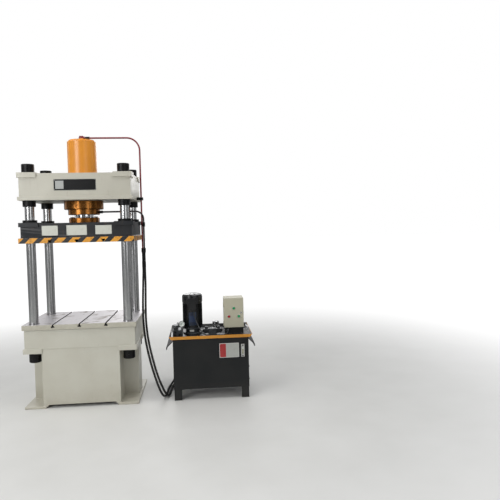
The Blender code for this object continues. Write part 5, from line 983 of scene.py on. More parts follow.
@dataclass
class Columns(Stand):
    """Four ground columns with the round nuts that clamp bed and crown to them."""

    pitch: Pair = (0.419, 0.27)
    radius: float = 0.041
    reach: Pair = (0.408, 2.193)
    bed_nut: Triple = (0.0535, 0.4117, 0.5007)
    crown_nut: Triple = (0.056, 1.8177, 1.8727)
    top_nut: Triple = (0.055, 2.1203, 2.1973)
    chamfer: float = 0.004
    hole_r: float = 0.005

    def build(self) -> None:
        """Build each column with its three nuts."""
        low, high = self.reach
        r = self.radius
        for number, (x, y) in enumerate(corners(*self.pitch), 1):
            place = self.at(x, y)
            bar = Shape()
            bar.turned([
                (0, low), (r - 0.003, low), (r, low + 0.003), (r, high - 0.003), (r - 0.003, high),
                (0.006, high), (0.0, high - 0.007)], sides=72)
            self.put(f"column_bar_{number}", bar, COLUMN_STEEL, place, node=f"column_{number}")
            self.put(f"bed_nut_{number}", self.nut(*self.bed_nut, number), OXIDE, place)
            self.put(
                f"lower_nut_{number}", self.nut(*self.crown_nut, number + 2), OXIDE, place,
                node=f"crown_nut_{number}")
            self.put(
                f"upper_nut_{number}", self.nut(*self.top_nut, number + 5), OXIDE, place,
                node=f"top_nut_{number}")

    def nut(self, radius: float, low: float, high: float, turn: int) -> Shape:
        """Return a round nut with chamfered edges and holes for a pin spanner."""
        edge = self.chamfer
        nut = Shape()
        nut.turned([
            (self.radius + 0.0002, low), (radius - edge, low), (radius, low + edge),
            (radius, high - edge), (radius - edge, high), (self.radius + 0.0022, high),
            (self.radius + 0.0002, high - 0.002)], sides=64)
        holes = Shape()
        middle, phase = (low + high) / 2, 0.52 * turn
        inner = round_axis(4, radius - 0.01, middle, phase)
        for start, end in zip(inner, round_axis(4, radius + 0.01, middle, phase)):
            holes.tube([start, end], self.hole_r, 16)
        nut.cut(holes)
        return nut


@dataclass
class Crown(Stand):
    """Welded crown with its flange, its pads and a bare black nameplate."""

    half: Pair = (0.487, 0.325)
    low_z: float = 1.905
    pad: Triple = (0.334, 0.19, 2.112)
    wall: tuple[Pair, ...] = ((0.325, 1.905), (0.325, 2.075), (0.4, 2.075), (0.4, 1.905))
    plate: Quad = (-0.186, 1.957, 0.182, 2.057)

    def build(self) -> None:
        """Build the weldment, its beads and the nameplate."""
        crown = self.node("crown", self.origin, 0.003, self.wall)
        self.put("crown_weldment", crown, CROWN_ENAMEL, self.origin, node="crown")
        beads = Shape()
        half_x, half_y = self.half
        z = self.low_z
        pad_x, pad_y, pad_z = self.pad
        for side in (-1, 1):
            beads.bead((-half_x, side * half_y, z), (half_x, side * half_y, z), 0.004)
            beads.bead((side * half_x, -half_y, z), (side * half_x, half_y, z), 0.004)
        for side, end in corners(1, 1):
            inner = (side * pad_x, end * pad_y, pad_z)
            beads.bead(inner, (side * half_x, end * pad_y, pad_z), 0.0035)
            beads.bead(inner, (side * pad_x, end * half_y, pad_z), 0.0035)
        self.put("crown_weld_beads", beads, CROWN_ENAMEL, self.origin)
        bare_plate(
            self, "nameplate", self.plate, -half_y,
            PlateFilm(
                "black_nameplate", "relay_plastic", colour="#0B0C0E", field_colour="#A9ABA8",
                field=(-0.17, -0.098, 0.036), rim="#6E706D", half=(0.184, 0.05), rim_m=0.003,
                roughness=0.34, soil=0.05, specular=0.2))


def bare_plate(
        stand: Stand, name: str, area: Sequence[float], face: float, film: PlateFilm,
        body: str = "frame", rivet_r: float = 0.003) -> None:
    """Put a bare plate with a rivet in each corner on a front face.

    Args:
        stand: The sub-assembly that carries the plate.
        name: Name of the piece.
        area: Left, bottom, right and top edge in the group's own frame.
        face: The y of the face that it lies on.
        film: Its finish.
        body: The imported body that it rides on.
        rivet_r: Radius of the rivets.
    """
    left, low, right, high = area
    half_x, half_z = (right - left) / 2, (high - low) / 2
    plate = Shape()
    plate.block((-half_x, -0.0016, -half_z), (half_x, 0.0, half_z), 0.0005)
    plate.paint = 1
    inset = rivet_r * 2.2
    for x, z in corners(half_x - inset, half_z - inset):
        plate.turned([
            (0, 0), (rivet_r, 0), (rivet_r * 0.9, 0.0007), (rivet_r * 0.5, 0.0013),
            (0, 0.0015)], (x, -0.0014, z), Axis.MINUS_Y, 16)
    stand.put(
        name, plate, (film, BRIGHT_STEEL), stand.at((left + right) / 2, face, (low + high) / 2),
        body)


@dataclass
class Slide(Stand):
    """Moving slide: box body, slotted plate with hazard bars, and guide bushes."""

    half: Pair = (0.487, 0.325)
    bead_z: float = 0.0485
    plate_low: float = 1.49
    plate_half: Pair = (0.503, 0.345)
    plate_t: float = 0.047
    pitch: Pair = (0.419, 0.27)
    bush: Triple = (0.062, 1.6753, 0.022)
    sleeve: Pair = (0.052, 0.15)
    bore: float = 0.0413
    bush_screws: int = 6
    wall: tuple[Pair, ...] = (
        (0.325, 0.04), (0.325, 0.147), (0.338, 0.147), (0.338, 0.165), (0.4, 0.165), (0.4, 0.04))
    bare: tuple[Quad, ...] = (
        (-0.304, 1.555, -0.163, 1.646), (-0.09, 1.554, 0.09, 1.647), (0.162, 1.558, 0.309, 1.642))

    def build(self) -> None:
        """Build the body, the plate, the bare plates and the bushes."""
        place = self.at(0, 0, self.plate_low)
        body = self.node("slide_body", place, 0.003, self.wall)
        self.put("slide_box", body, SLIDE_ENAMEL, place, "slide", "slide_body")
        beads = Shape()
        x, y = self.half
        z = self.bead_z
        for side in (-1, 1):
            beads.bead((-x, side * y, z), (x, side * y, z), 0.003)
            beads.bead((side * x, -y, z), (side * x, y, z), 0.003)
        self.put("slide_weld_beads", beads, SLIDE_ENAMEL, place, "slide")
        place = self.origin
        plate = self.node("slide_bolster", place, 0.0015)
        plate.dress_plate(self.plate_half, self.plate_low, self.plate_low + self.plate_t)
        self.put(
            "slide_plate", plate, (HAZARD, GROUND_TOP, SHADED_SLOT_STEEL), place, "slide", "slide_bolster")
        for number, (left, bottom, right, top) in enumerate(self.bare, 1):
            film = PlateFilm(
                f"bare_slide_plate_{number}", "relay_plastic", colour="#C9CABF", rim="#5D5F5C",
                half=((right - left) / 2, (top - bottom) / 2), rim_m=0.002, soil=0.16)
            bare_plate(
                self, f"bare_plate_{number}", (left, bottom, right, top), -self.half[1], film,
                "slide")
        for number, (x, y) in enumerate(corners(*self.pitch), 1):
            self.put(
                f"bush_{number}", self.guide_bush(), OXIDE, self.at(x, y), "slide",
                f"guide_bush_{number}")

    def guide_bush(self) -> Shape:
        """Return a flanged bush with its cap screws and its scraper lip."""
        radius, low, height = self.bush
        sleeve_r, length = self.sleeve
        bore = self.bore
        high = low + height
        bush = Shape()
        bush.turned([
            (bore, high - length), (sleeve_r, high - length), (sleeve_r, low), (radius, low),
            (radius, high - 0.0015), (radius - 0.0015, high), (bore + 0.006, high),
            (bore + 0.005, high - 0.003), (bore + 0.002, high - 0.003), (bore, high)], sides=64)
        middle = (radius + bore + 0.006) / 2 + 0.001
        for place in round_axis(self.bush_screws, middle, high - 0.0005):
            bush.socket_screw(place, Axis.Z, 0.0048, 0.0005)
        return bush


@dataclass
class Cylinder(Stand):
    """Oil cylinder in the crown, its lock ring and gland, and the chromed rod."""

    barrel_r: float = 0.1335
    bore_r: float = 0.105
    barrel_z: Pair = (1.795, 2.45)
    ring: Triple = (0.18, 1.795, 1.8727)
    gland: Triple = (0.145, 1.7447, 1.7947)
    rod_r: float = 0.0875
    rod_neck_r: float = 0.0449
    rod_z: Pair = (1.6683, 2.395)
    flange: Triple = (0.14, 1.6683, 1.7163)
    flange_screws: tuple[int, float] = (8, 0.118)
    gland_screws: tuple[int, float] = (12, 0.128)
    notches: int = 4

    def build(self) -> None:
        """Build the barrel, its rings, the rod and the piston."""
        place = self.origin
        low, high = self.barrel_z
        barrel = Shape()
        r = self.barrel_r
        barrel.turned([
            (self.bore_r, low), (r - 0.001, low), (r, low + 0.001), (r, high - 0.018),
            (r - 0.0035, high - 0.0135), (0.122, high - 0.0125), (0.12, high - 0.0105),
            (0.119, high - 0.002), (0.117, high), (0.082, high), (0.08, high + 0.001),
            (0.078, high + 0.005), (0, high + 0.005), (0, high - 0.04),
            (self.bore_r, high - 0.04)], sides=96)
        self.put("barrel", barrel, CYLINDER_ENAMEL, place, node="cylinder_barrel")
        self.put("lock_ring", self.lock_ring(), RING_STEEL, place, node="cylinder_lock_ring")
        self.put("gland", self.gland_ring(), (RING_STEEL, OXIDE), place, node="cylinder_gland")
        low, high = self.rod_z
        neck = self.rod_neck_r
        r = self.rod_r
        rod = Shape()
        rod.turned([
            (0, low), (r, low), (r, high - 0.0704), (neck, high - 0.0704), (neck, high - 0.001),
            (0, high - 0.001)], sides=96)
        self.put("rod", rod, ROD_CHROME, place, "slide", "piston_rod")
        self.put(
            "rod_ring", self.rod_ring(), (RING_STEEL, BRIGHT_STEEL), place, "slide", "rod_flange")
        self.keep("piston_head", "piston", 0.001, SHAFT_STEEL, place, "slide")

    def lock_ring(self) -> Shape:
        """Return the lock ring with its spanner notches."""
        radius, low, high = self.ring
        ring = Shape()
        ring.turned([
            (self.barrel_r + 0.0005, low), (radius - 0.006, low), (radius - 0.003, low + 0.001),
            (radius, low + 0.004), (radius, high - 0.004), (radius - 0.003, high),
            (self.barrel_r + 0.0005, high)], sides=96)
        tool = Shape()
        for step in range(self.notches):
            angle = math.tau * (step + 0.28) / self.notches
            tool.prism(
                spoke(angle, radius - 0.011, radius + 0.02, 0.009, 0.009), low - 0.01, high - 0.02)
        ring.cut(tool)
        return ring

    def gland_ring(self) -> Shape:
        """Return the gland with its wiper groove and screws."""
        radius, low, high = self.gland
        ring = Shape()
        bore = self.rod_r + 0.0006
        ring.turned([
            (bore, low), (bore + 0.004, low), (bore + 0.006, low + 0.003),
            (bore + 0.01, low + 0.003), (bore + 0.012, low), (radius - 0.003, low),
            (radius, low + 0.003), (radius, high - 0.001), (radius - 0.001, high), (0.104, high),
            (0.104, high + 0.024), (bore, high + 0.024)], sides=96)
        ring.paint = 1
        count, pitch_r = self.gland_screws
        for place in round_axis(count, pitch_r, low + 0.0005):
            ring.socket_screw(place, Axis.MINUS_Z, 0.007, 0.0005)
        return ring

    def rod_ring(self) -> Shape:
        """Return the flange that bolts the rod to the slide, with its bright screws."""
        radius, low, high = self.flange
        ring = Shape()
        ring.turned([
            (self.rod_r + 0.0004, low), (radius, low), (radius, high - 0.004),
            (radius - 0.004, high), (self.rod_r + 0.0034, high),
            (self.rod_r + 0.0004, high - 0.003)], sides=96)
        ring.paint = 1
        count, pitch_r = self.flange_screws
        for place in round_axis(count, pitch_r, high - 0.0002):
            ring.hex_screw(place, Axis.Z, 0.011, 0.0118)
        return ring


def arc(centre: Point, start: Point, end: Point, steps: int) -> list[Vector]:
    """Return points on a quarter circle.

    Args:
        centre: Centre of the bend.
        start: First point.
        end: Last point, square to the first as seen from the centre.
        steps: Number of steps.

    Returns:
        The points, both ends among them.
    """
    middle = Vector(centre)
    first, last = Vector(start) - middle, Vector(end) - middle
    angles = [math.pi / 2 * step / steps for step in range(steps + 1)]
    return [middle + first * math.cos(angle) + last * math.sin(angle) for angle in angles]


def curve(route: Sequence[Vector], parts: int) -> list[Vector]:
    """Return points on a smooth curve through a route.

    Args:
        route: Points that the curve passes through.
        parts: Samples between two points of the route.

    Returns:
        The points, both ends among them.
    """
    knots = [2 * route[0] - route[1], *route, 2 * route[-1] - route[-2]]
    fine = []
    for before, start, end, after in zip(knots, knots[1:], knots[2:], knots[3:]):
        for t in (part / parts for part in range(parts)):
            fine.append(
                0.5 * (
                    2 * start + (end - before) * t
                    + (2 * before - 5 * start + 4 * end - after) * t**2
                    + (3 * start - before - 3 * end + after) * t**3))
    return [*fine, route[-1]]


def spaced(line: Sequence[Vector], spacing: float) -> list[Vector]:
    """Return points at an even distance along a line of short steps."""
    lengths = [0.0]
    for start, end in zip(line, line[1:]):
        lengths.append(lengths[-1] + (end - start).length)
    count = max(2, round(lengths[-1] / spacing))
    points = []
    index = 0
    for step in range(count + 1):
        wanted = lengths[-1] * step / count
        while index < len(lengths) - 2 and lengths[index + 1] < wanted:
            index += 1
        share = (wanted - lengths[index]) / (lengths[index + 1] - lengths[index])
        points.append(line[index].lerp(line[index + 1], min(max(share, 0.0), 1.0)))
    return points


def hex_nut(shape: Shape, at: Point, axis: Axis, radius: float, length: float, bore: float) -> None:
    """Add a hexagon union nut with both ends chamfered, open along its axis."""
    edge = radius * 0.14
    shape.turned([
        (bore, 0), (radius - edge, 0), (radius, edge * 0.6), (radius, length - edge * 0.6),
        (radius - edge, length), (bore, length)], at, axis, 6, radius * 0.03)


@dataclass
class Piping(Stand):
    """Rigid pipes down the press's right side, their fittings and the clamp."""

    pipe_r: float = 0.008
    tail_r: float = 0.0108
    nut_r: float = 0.0135
    elbow_z: float = 2.4743
    elbow: float = 0.038
    boss_z: float = -0.001
    upper_x: float = 0.541
    upper_bend: float = 0.12
    lower_x: float = 0.562
    lower_bend: float = 0.075
    lower_turn_deg: float = -3.2
    joint_z: float = 1.6205
    port_z: float = 1.769
    nut_low: float = 1.372
    nut_l: float = 0.042
    end_z: float = 1.2303
    clamp: Quad = (0.5003, 0.559, 1.875, 1.903)

    def build(self) -> None:
        """Build the elbow, both pipes and the clamp."""
        z = self.elbow_z
        half = self.elbow / 2
        elbow = Shape()
        elbow.block((-half, -half, self.boss_z), (half, half, half), 0.002)
        elbow.rod(0.015, half - 0.001, half + 0.013, axis=Axis.X, sides=32)
        elbow.hex_screw((-half + 0.0002, 0, 0), Axis.MINUS_X, 0.011, 0.006)
        elbow.paint = 1
        elbow.block((-half, -half, -half), (half, half, self.boss_z), 0.002)
        self.put(
            "top_elbow", elbow, (ELBOW_ENAMEL, CYLINDER_ENAMEL), self.at(0, 0, z),
            node="port_elbow")
        r = self.pipe_r
        bend = self.upper_bend
        x = self.upper_x
        line = [(0.0335, 0, z), (0.1, 0, z), (0.25, 0, z)]
        line += arc((x - bend, 0, z - bend), (x - bend, 0, z), (x, 0, z - bend), 16)
        line += [(x, 0, 2.0), (x, 0, 1.7), (x, 0, self.nut_low)]
        pipe = Shape()
        pipe.tube(line, r, 24)
        pipe.paint = 1
        hex_nut(pipe, (0.0333, 0, z), Axis.X, self.nut_r, self.nut_l, r - 0.0002)
        self.bottom_fitting(pipe, x)
        self.put("pipe_from_top", pipe, (PIPE_ENAMEL, OXIDE), self.origin, node="upper_pipe")
        self.build_lower()
        left, right, low, high = self.clamp
        clamp = Shape()
        clamp.block((left, -0.02, low), (right, -0.0003, high), 0.0015)
        clamp.block((left, 0.0003, low), (right, 0.02, high), 0.0015)
        clamp.hex_screw((
            left + 0.018, -0.0198, (low + high) / 2), Axis.MINUS_Y, 0.0058, 0.005, False)
        hollow = Shape()
        hollow.tube([(x, 0, low - 0.01), (x, 0, high + 0.01)], r + 0.0002, 24)
        clamp.cut(hollow)
        self.put("clamp", clamp, OXIDE, self.origin, node="pipe_clamp")

    def bottom_fitting(self, pipe: Shape, x: float) -> None:
        """Add the union nut at the pipe's foot and the tail that the hose is pressed on."""
        pipe.paint = 1
        nut = self.nut_low
        hex_nut(pipe, (x, 0, nut), Axis.Z, self.nut_r, self.nut_l, self.pipe_r - 0.0002)
        low, r = self.end_z, self.tail_r
        neck = r * 0.86
        pipe.turned([
            (0, low), (r - 0.001, low), (r, low + 0.001), (r, low + 0.05), (neck, low + 0.053),
            (neck, nut - 0.012), (r, nut - 0.01), (r, nut + 0.001),
            (0, nut + 0.001)], (x, 0, 0), sides=32)

    def build_lower(self) -> None:
        """Build the pipe that leaves the gland's port."""
        turn = Matrix.Rotation(math.radians(self.lower_turn_deg), 4, "Z")
        z, x, bend = self.port_z, self.lower_x, self.lower_bend
        line = [(0.1455, 0, z), (0.3, 0, z)]
        line += arc((x - bend, 0, z - bend), (x - bend, 0, z), (x, 0, z - bend), 14)
        line += [(x, 0, 1.6), (x, 0, self.nut_low)]
        pipe = Shape()
        pipe.tube(line, self.pipe_r, 24)
        pipe.paint = 1
        hex_nut(pipe, (0.1457, 0, z), Axis.X, self.nut_r, 0.032, self.pipe_r - 0.0002)
        hex_nut(pipe, (x, 0, self.joint_z), Axis.Z, self.nut_r, self.nut_l, self.pipe_r - 0.0002)
        self.bottom_fitting(pipe, x)
        bmesh.ops.transform(pipe.bm, matrix=turn, verts=pipe.bm.verts)
        # The pipe from the gland takes the maroon paint darkened to near black, as painted shade.
        self.put("pipe_from_gland", pipe, (SHADED_MAROON_PIPE, OXIDE), self.origin, node="lower_pipe")


class HosePlan(Enum):
    """Routes of the two free hoses: the fall from its pipe and the rise to its outlet."""

    PRESSURE = (
        (
            (-0.004, -0.026, 1.05), (-0.007, -0.07, 0.86), (-0.001, -0.12, 0.72),
            (0.019, -0.18, 0.56), (0.059, -0.245, 0.39), (0.105, -0.292, 0.24),
            (0.143, -0.309, 0.13), (0.173, -0.281, 0.05), (0.192, -0.203, 0.014),
            (0.203, -0.1, 0.0115), (0.209, 0.02, 0.0115)),
        (
            (-0.085, -0.1345, 0.0125), (-0.059, -0.0575, 0.03), (-0.03, -0.0125, 0.085),
            (-0.008, 0.0015, 0.165)))
    RETURN = (
        (
            (0.0019, -0.0206, 1.05), (0.0019, -0.0666, 0.86), (0.0059, -0.1066, 0.72),
            (0.0269, -0.1646, 0.56), (0.0669, -0.2186, 0.39), (0.1109, -0.2516, 0.24),
            (0.1509, -0.2556, 0.13), (0.1829, -0.2236, 0.05), (0.2029, -0.1486, 0.014),
            (0.2139, -0.0586, 0.0115), (0.2209, 0.0514, 0.0115)),
        (
            (-0.097, -0.1425, 0.0115), (-0.077, -0.0585, 0.024), (-0.047, -0.0085, 0.07),
            (-0.018, 0.0095, 0.147)))


@dataclass
class Hoses(Stand):
    """Two rubber hoses in plastic spiral guards, from the pipes over the floor to the tank."""

    radius: float = 0.0105
    guard_pitch: float = 0.014
    high_z: float = 1.23
    lead: float = 0.045
    spacing: float = 0.058
    floor_gap: float = 0.001
    starts: tuple[Pair, ...] = ((0.541, 0.0), (0.561124, -0.031372))
    ends: tuple[Pair, ...] = ((0.847, 0.2545), (0.889, 0.2545))
    end_z: float = 0.3
    step: float = 0.0028

    def line(self, plan: HosePlan, start: Vector, end: Vector) -> list[Vector]:
        """Return a hose's centre line in the group's own frame."""
        fall, rise = plan.value
        lead = Vector((0, 0, self.lead))
        route = [start - lead]
        route += [Vector((start.x + x, start.y + y, z)) for x, y, z in fall]
        route += [Vector((end.x + x, end.y + y, z)) for x, y, z in rise]
        packed = self.lifted(spaced(curve([*route, end - lead], 24), self.spacing))
        return spaced(self.lifted(curve([start, *packed, end], 20)), self.step)

    def lifted(self, points: Sequence[Vector]) -> list[Vector]:
        """Return points with those raised that would sink the hose into the floor."""
        lowest = self.radius + self.floor_gap
        return [Vector((x, y, max(z, lowest))) for x, y, z in points]

    def build(self) -> None:
        """Build both hoses and work out how long each is."""
        names = ("pressure_hose", "return_hose")
        for name, plan, start, end in zip(names, HosePlan, self.starts, self.ends):
            smooth = self.line(plan, Vector((*start, self.high_z)), Vector((*end, self.end_z)))
            length = sum((b - a).length for a, b in zip(smooth, smooth[1:]))
            radii = []
            for step in range(len(smooth)):
                along = step * length / (len(smooth) - 1)
                groove = 0.5 - 0.5 * math.cos(math.tau * along / self.guard_pitch)
                radii.append(self.radius * (1.0 - 0.11 * (1 - groove) ** 3))
            shape = Shape()
            shape.tube(smooth, radii, 20)
            hose = self.put(f"{name}_cover", shape, HOSE_RUBBER, self.origin, node=name)
            self.at(*smooth[0])
            [self.at(*point) for point in smooth]


@dataclass
class Tank(Stand):
    """Oil tank on angle legs with its lifting rails, tray lid and fittings."""

    half: Pair = (0.3485, 0.2575)
    low_z: float = 0.101
    top_z: float = 0.5717
    tray_z: Pair = (0.572, 0.58)
    cover: Quad = (0.13, 0.118, 0.268, 0.012)
    level: tuple[float, ...] = (0.295, 0.4475, 0.032, 0.12, 0.016)
    breather: Triple = (0.06, 0.17, LID_SEAT)
    rail: Pair = (0.2515, 0.5625)
    plate: Quad = (0.0775, 0.384, 0.2595, 0.518)

    def build(self) -> None:
        """Build the body, the lid and everything bolted to the walls."""
        self.keep("tank_shell", "tank_body", 0.0016, TANK_ENAMEL, self.origin)
        half_x, half_y = self.half
        rail_y, rail_z = self.rail
        beads = Shape()
        for side, end in corners(1, 1):
            x, y = side * half_x, end * half_y
            beads.bead((x, y, self.low_z), (x, y, self.top_z - 0.003), 0.0028)
            x = side * (half_x + 0.0002)
            beads.bead((x, end * rail_y, rail_z), (x, end * -rail_y, rail_z), 0.003)
        self.put("tank_weld_beads", beads, TANK_ENAMEL, self.origin)
        self.build_tray()
        self.build_cover()
        self.build_level()
        self.build_breather()
        bare_plate(
            self, "tank_plate", self.plate, -half_y,
            PlateFilm(
                "two_field_plate", "relay_plastic", colour="#A9ABA5", field_colour="#A02A2C",
                field=(-0.087, -0.03, 0.063), rim="#CFCFCA", half=(0.091, 0.067), rim_m=0.004,
                soil=0.18))

    def build_tray(self) -> None:
        """Build the lid: yellow folded rim round an oily black floor."""
        low, floor = self.tray_z
        place = self.at(0, 0, low)
        tray = self.node("tank_tray", place, 0.0008)

        def choose(middle: Vector, normal: Vector) -> int:
            """Paint the outside of the rim yellow and leave the basin black and oily."""
            inward = middle.x * normal.x + middle.y * normal.y < 0.0
            flat = normal.z > 0.7 and middle.z < floor - low + 0.001
            return 1 if flat or (inward and middle.z > floor - low + 0.0005) else 0

        tray.dress(choose)
        self.put("lid_tray", tray, (RIM_ENAMEL, OILY_LID), place, node="tank_tray")

    def build_cover(self) -> None:
        """Build the clean-out cover with its gasket line, screws and plug."""
        half_y, low, high, thick = self.cover
        wall = self.half[0] + 0.0003
        place = self.at(wall, 0, (low + high) / 2)
        half_z = (high - low) / 2
        cover = Shape()
        cover.block((0, -half_y, -half_z), (0.0022, half_y, half_z), 0.0004)
        cover.block((0.0024, -half_y, -half_z), (thick, half_y, half_z), 0.0016)
        cover.paint = 1
        for z in (-half_z + 0.015, half_z - 0.015):
            for index in range(4):
                y = (half_y - 0.015) * (2 * index / 3 - 1)
                cover.hex_screw((thick - 0.0002, y, z), Axis.X, 0.0075, 0.007)
        cover.hex_screw((thick - 0.0002, 0, 0), Axis.X, 0.0158, 0.0128)
        self.put("cover_plate", cover, (TANK_ENAMEL, OXIDE), place, node="clean_out_cover")

    def build_level(self) -> None:
        """Build the level gauge: cast body and clear window with the oil behind it."""
        x, z, width, height, deep = self.level
        face = -self.half[1] - 0.0003
        place = self.at(x, face, z)
        half_w, half_h = width / 2, height / 2
        body = Shape()
        body.block((-half_w, -deep, -half_h), (half_w, 0, half_h), 0.003, 3)
        window = Shape()
        window.block((-0.007, -deep - 0.01, -0.033), (0.007, -deep + 0.008, 0.033), 0.002, 3)
        body.cut(window)
        body.paint = 1
        for z in (0.012 - half_h, half_h - 0.012):
            body.hex_screw((0, -deep + 0.0002, z), Axis.MINUS_Y, 0.007, 0.0057, False)
        self.put("level_body", body, (LEVEL_ALLOY, OXIDE), place, node="level_gauge")
        oil = Shape()
        oil.block((-0.0064, -deep + 0.0032, -0.0325), (0.0064, -deep + 0.0076, 0.012), 0.0006)
        oil.paint = 1
        oil.block((-0.0064, -deep + 0.0052, 0.0122), (0.0064, -deep + 0.0076, 0.0325), 0.0006)
        self.put("level_oil", oil, (OIL_COLUMN, DIAL_FACE), place)
        pane = Shape()
        pane.block((-0.0067, -deep + 0.0006, -0.0327), (0.0067, -deep + 0.003, 0.0327), 0.0006)
        self.put("level_pane", pane, PANE, place)

    def build_breather(self) -> None:
        """Build the filler breather: a pressed cap on a bayonet neck."""
        x, y, seat = self.breather
        cap = Shape()
        cap.turned([
            (0, -0.06), (0.022, -0.06), (0.022, 0), (0.0345, 0), (0.035, 0.001), (0.035, 0.0065),
            (0.034, 0.0075), (0.026, 0.0085), (0.026, 0.03), (0.0335, 0.0305), (0.035, 0.032),
            (0.035, 0.036), (0.0343, 0.037), (0.0343, 0.062), (0.0325, 0.068), (0.027, 0.0735),
            (0.02, 0.075), (0, 0.075)], sides=64)
        cap.paint = 1
        for place in round_axis(6, 0.03, 0.007):
            cap.hex_screw(place, Axis.Z, 0.0028, 0.003, False)
        self.put(
            "breather_cap", cap, (BRIGHT_STEEL, OXIDE), self.at(x, y, seat), node="filler_breather")


@dataclass
class Motor(Stand):
    """Upright motor on its pump adaptor, with the pump hanging into the tank."""

    axis: Pair = (-0.167, 0.0)
    seat: float = LID_SEAT
    adaptor_h: float = 0.06
    housing_z: Pair = (0.6406, 0.8846)
    housing_r: Pair = (0.0885, 0.0945)
    shaft_bore: float = 0.0565
    fins: int = 40
    cowl: Triple = (0.098, 0.8849, 0.9659)
    cowl_t: float = 0.0022
    cowl_slots: int = 8
    label_z: Pair = (0.668, 0.79)
    label_deg: Pair = (-111.0, 42.0)
    tag: Quad = (-0.197, 0.6, -0.155, 0.62)
    tag_face: float = -0.0684
    box: tuple[float, ...] = (-0.038, 0.038, -0.1403, -0.0983, 0.822, 0.934)

    def build(self) -> None:
        """Build the adaptor, the motor with its box and plates, and the pump."""
        place = self.at(*self.axis, self.seat)
        adaptor = Shape()
        high = self.adaptor_h
        adaptor.turned([
            (0.042, 0), (0.092, 0), (0.094, 0.002), (0.094, 0.01), (0.092, 0.012), (0.074, 0.0135),
            (0.068, 0.018), (0.068, high - 0.018), (0.074, high - 0.0135), (0.092, high - 0.012),
            (0.094, high - 0.01), (0.094, high - 0.001), (0.093, high), (0.042, high)], sides=72)
        adaptor.paint = 1
        for spot in round_axis(4, 0.083, 0.0118):
            adaptor.socket_screw(spot, Axis.Z, 0.0065, 0.0065)
        self.put("adaptor", adaptor, (VALVE_IRON, OXIDE), place, node="pump_adaptor")
        self.build_housing()
        self.build_cowl()
        self.build_terminal_box()
        place = self.at(*self.axis)
        self.keep("rotor", "motor_rotor", 0.0006, SHAFT_STEEL, place, "rotor")
        self.keep("pump", "gear_pump", 0.002, VALVE_IRON, place)
        self.keep("strainer", "suction_strainer", 0.001, STRAINER_MESH, place)

    def build_housing(self) -> None:
        """Build the finned motor frame with plain end shields."""
        low, high = self.housing_z
        root, tip = self.housing_r
        place = self.at(*self.axis, low)
        height = high - low
        shell = Shape()
        inner = self.shaft_bore
        shell.turned([
            (inner, 0.036), (inner, 0.0), (tip - 0.002, 0), (tip, 0.002), (tip, 0.016),
            (root, 0.018), (root, height - 0.018), (tip, height - 0.016), (tip, height - 0.002),
            (tip - 0.002, height), (inner, height)], sides=96)
        for step in range(self.fins):
            fin = spoke(math.tau * step / self.fins, root - 0.002, tip + 0.0002, 0.0017, 0.0008)
            shell.prism(fin, 0.0165, height - 0.0165, "Z", 0.0003, 1)
        self.put("motor_frame", shell, MOTOR_ENAMEL, place, node="motor_housing")

    def build_cowl(self) -> None:
        """Build the fan cowl with its ring of slots."""
        radius, low, high = self.cowl
        place = self.at(*self.axis, low)
        h, wall = high - low, self.cowl_t
        inner, under = radius - wall, h - wall
        cowl = Shape()
        cowl.turned([
            (inner, 0), (radius, 0), (radius, h - 0.03), (radius - 0.0015, h - 0.022),
            (0.09, h - 0.012), (0.082, h - 0.0075), (0.06, h - 0.003), (0.03, h - 0.0004), (0, h),
            (0, under), (0.03, under - 0.0004), (0.06, under - 0.003), (0.08, under - 0.0075),
            (0.088, under - 0.012), (inner - 0.0015, under - 0.022), (inner, h - 0.03)], sides=96)
        slots = Shape()
        for step in range(self.cowl_slots):
            angle = math.tau * (step + 0.5) / self.cowl_slots
            for near, far in ((0.018, 0.046), (0.051, 0.076)):
                slots.prism(spoke(angle, near, far, 0.0033, 0.0033), h - 0.03, h + 0.01)
        cowl.cut(slots)
        cowl.paint = 1
        ways = (Axis.X, Axis.Y, Axis.MINUS_X, Axis.MINUS_Y)
        for way, spot in zip(ways, round_axis(4, radius - 0.0012, 0.012)):
            cowl.turned([(0, 0), (0.0035, 0), (0.003, 0.001), (0, 0.0014)], spot, way, 16)
        self.put("cowl", cowl, (MOTOR_ENAMEL, BRIGHT_STEEL), place, node="fan_cowl")

    def build_terminal_box(self) -> None:
        """Build the terminal box with its lid, screws and gland, then the plates."""
        x_low, x_high, y_low, y_high, low, high = self.box
        place = self.at(self.axis[0], y_high, low)
        h = high - low
        out = y_low - y_high
        box = Shape()
        box.block((x_low, out + 0.011, 0), (x_high, 0, h), 0.003, 3)
        box.block((x_low + 0.004, -0.004, 0.004), (x_high - 0.004, 0.0035, 0.0586), 0.001)
        box.block((x_low, out, 0.0), (x_high, out + 0.0105, h), 0.0028, 3)
        box.paint = 1
        for x, z in corners(x_high - 0.007, h / 2 - 0.007):
            box.socket_screw((x, out + 0.0004, h / 2 + z), Axis.MINUS_Y, 0.0034, 0.0003)
        box.paint = 2
        gland = (0.017, out + 0.0123, 0.0)
        box.turned([
            (0.0058, 0.0005), (0.011, 0.0005), (0.011, 0.006), (0.0094, 0.0062), (0.0094, 0.0148),
            (0.0085, 0.0158), (0.0058, 0.0158)], gland, Axis.MINUS_Z, 24)
        self.put(
            "terminal_box", box, (MOTOR_ENAMEL, OXIDE, BLACK_PLASTIC), place,
            node="motor_terminal_box")
        self.build_plates()

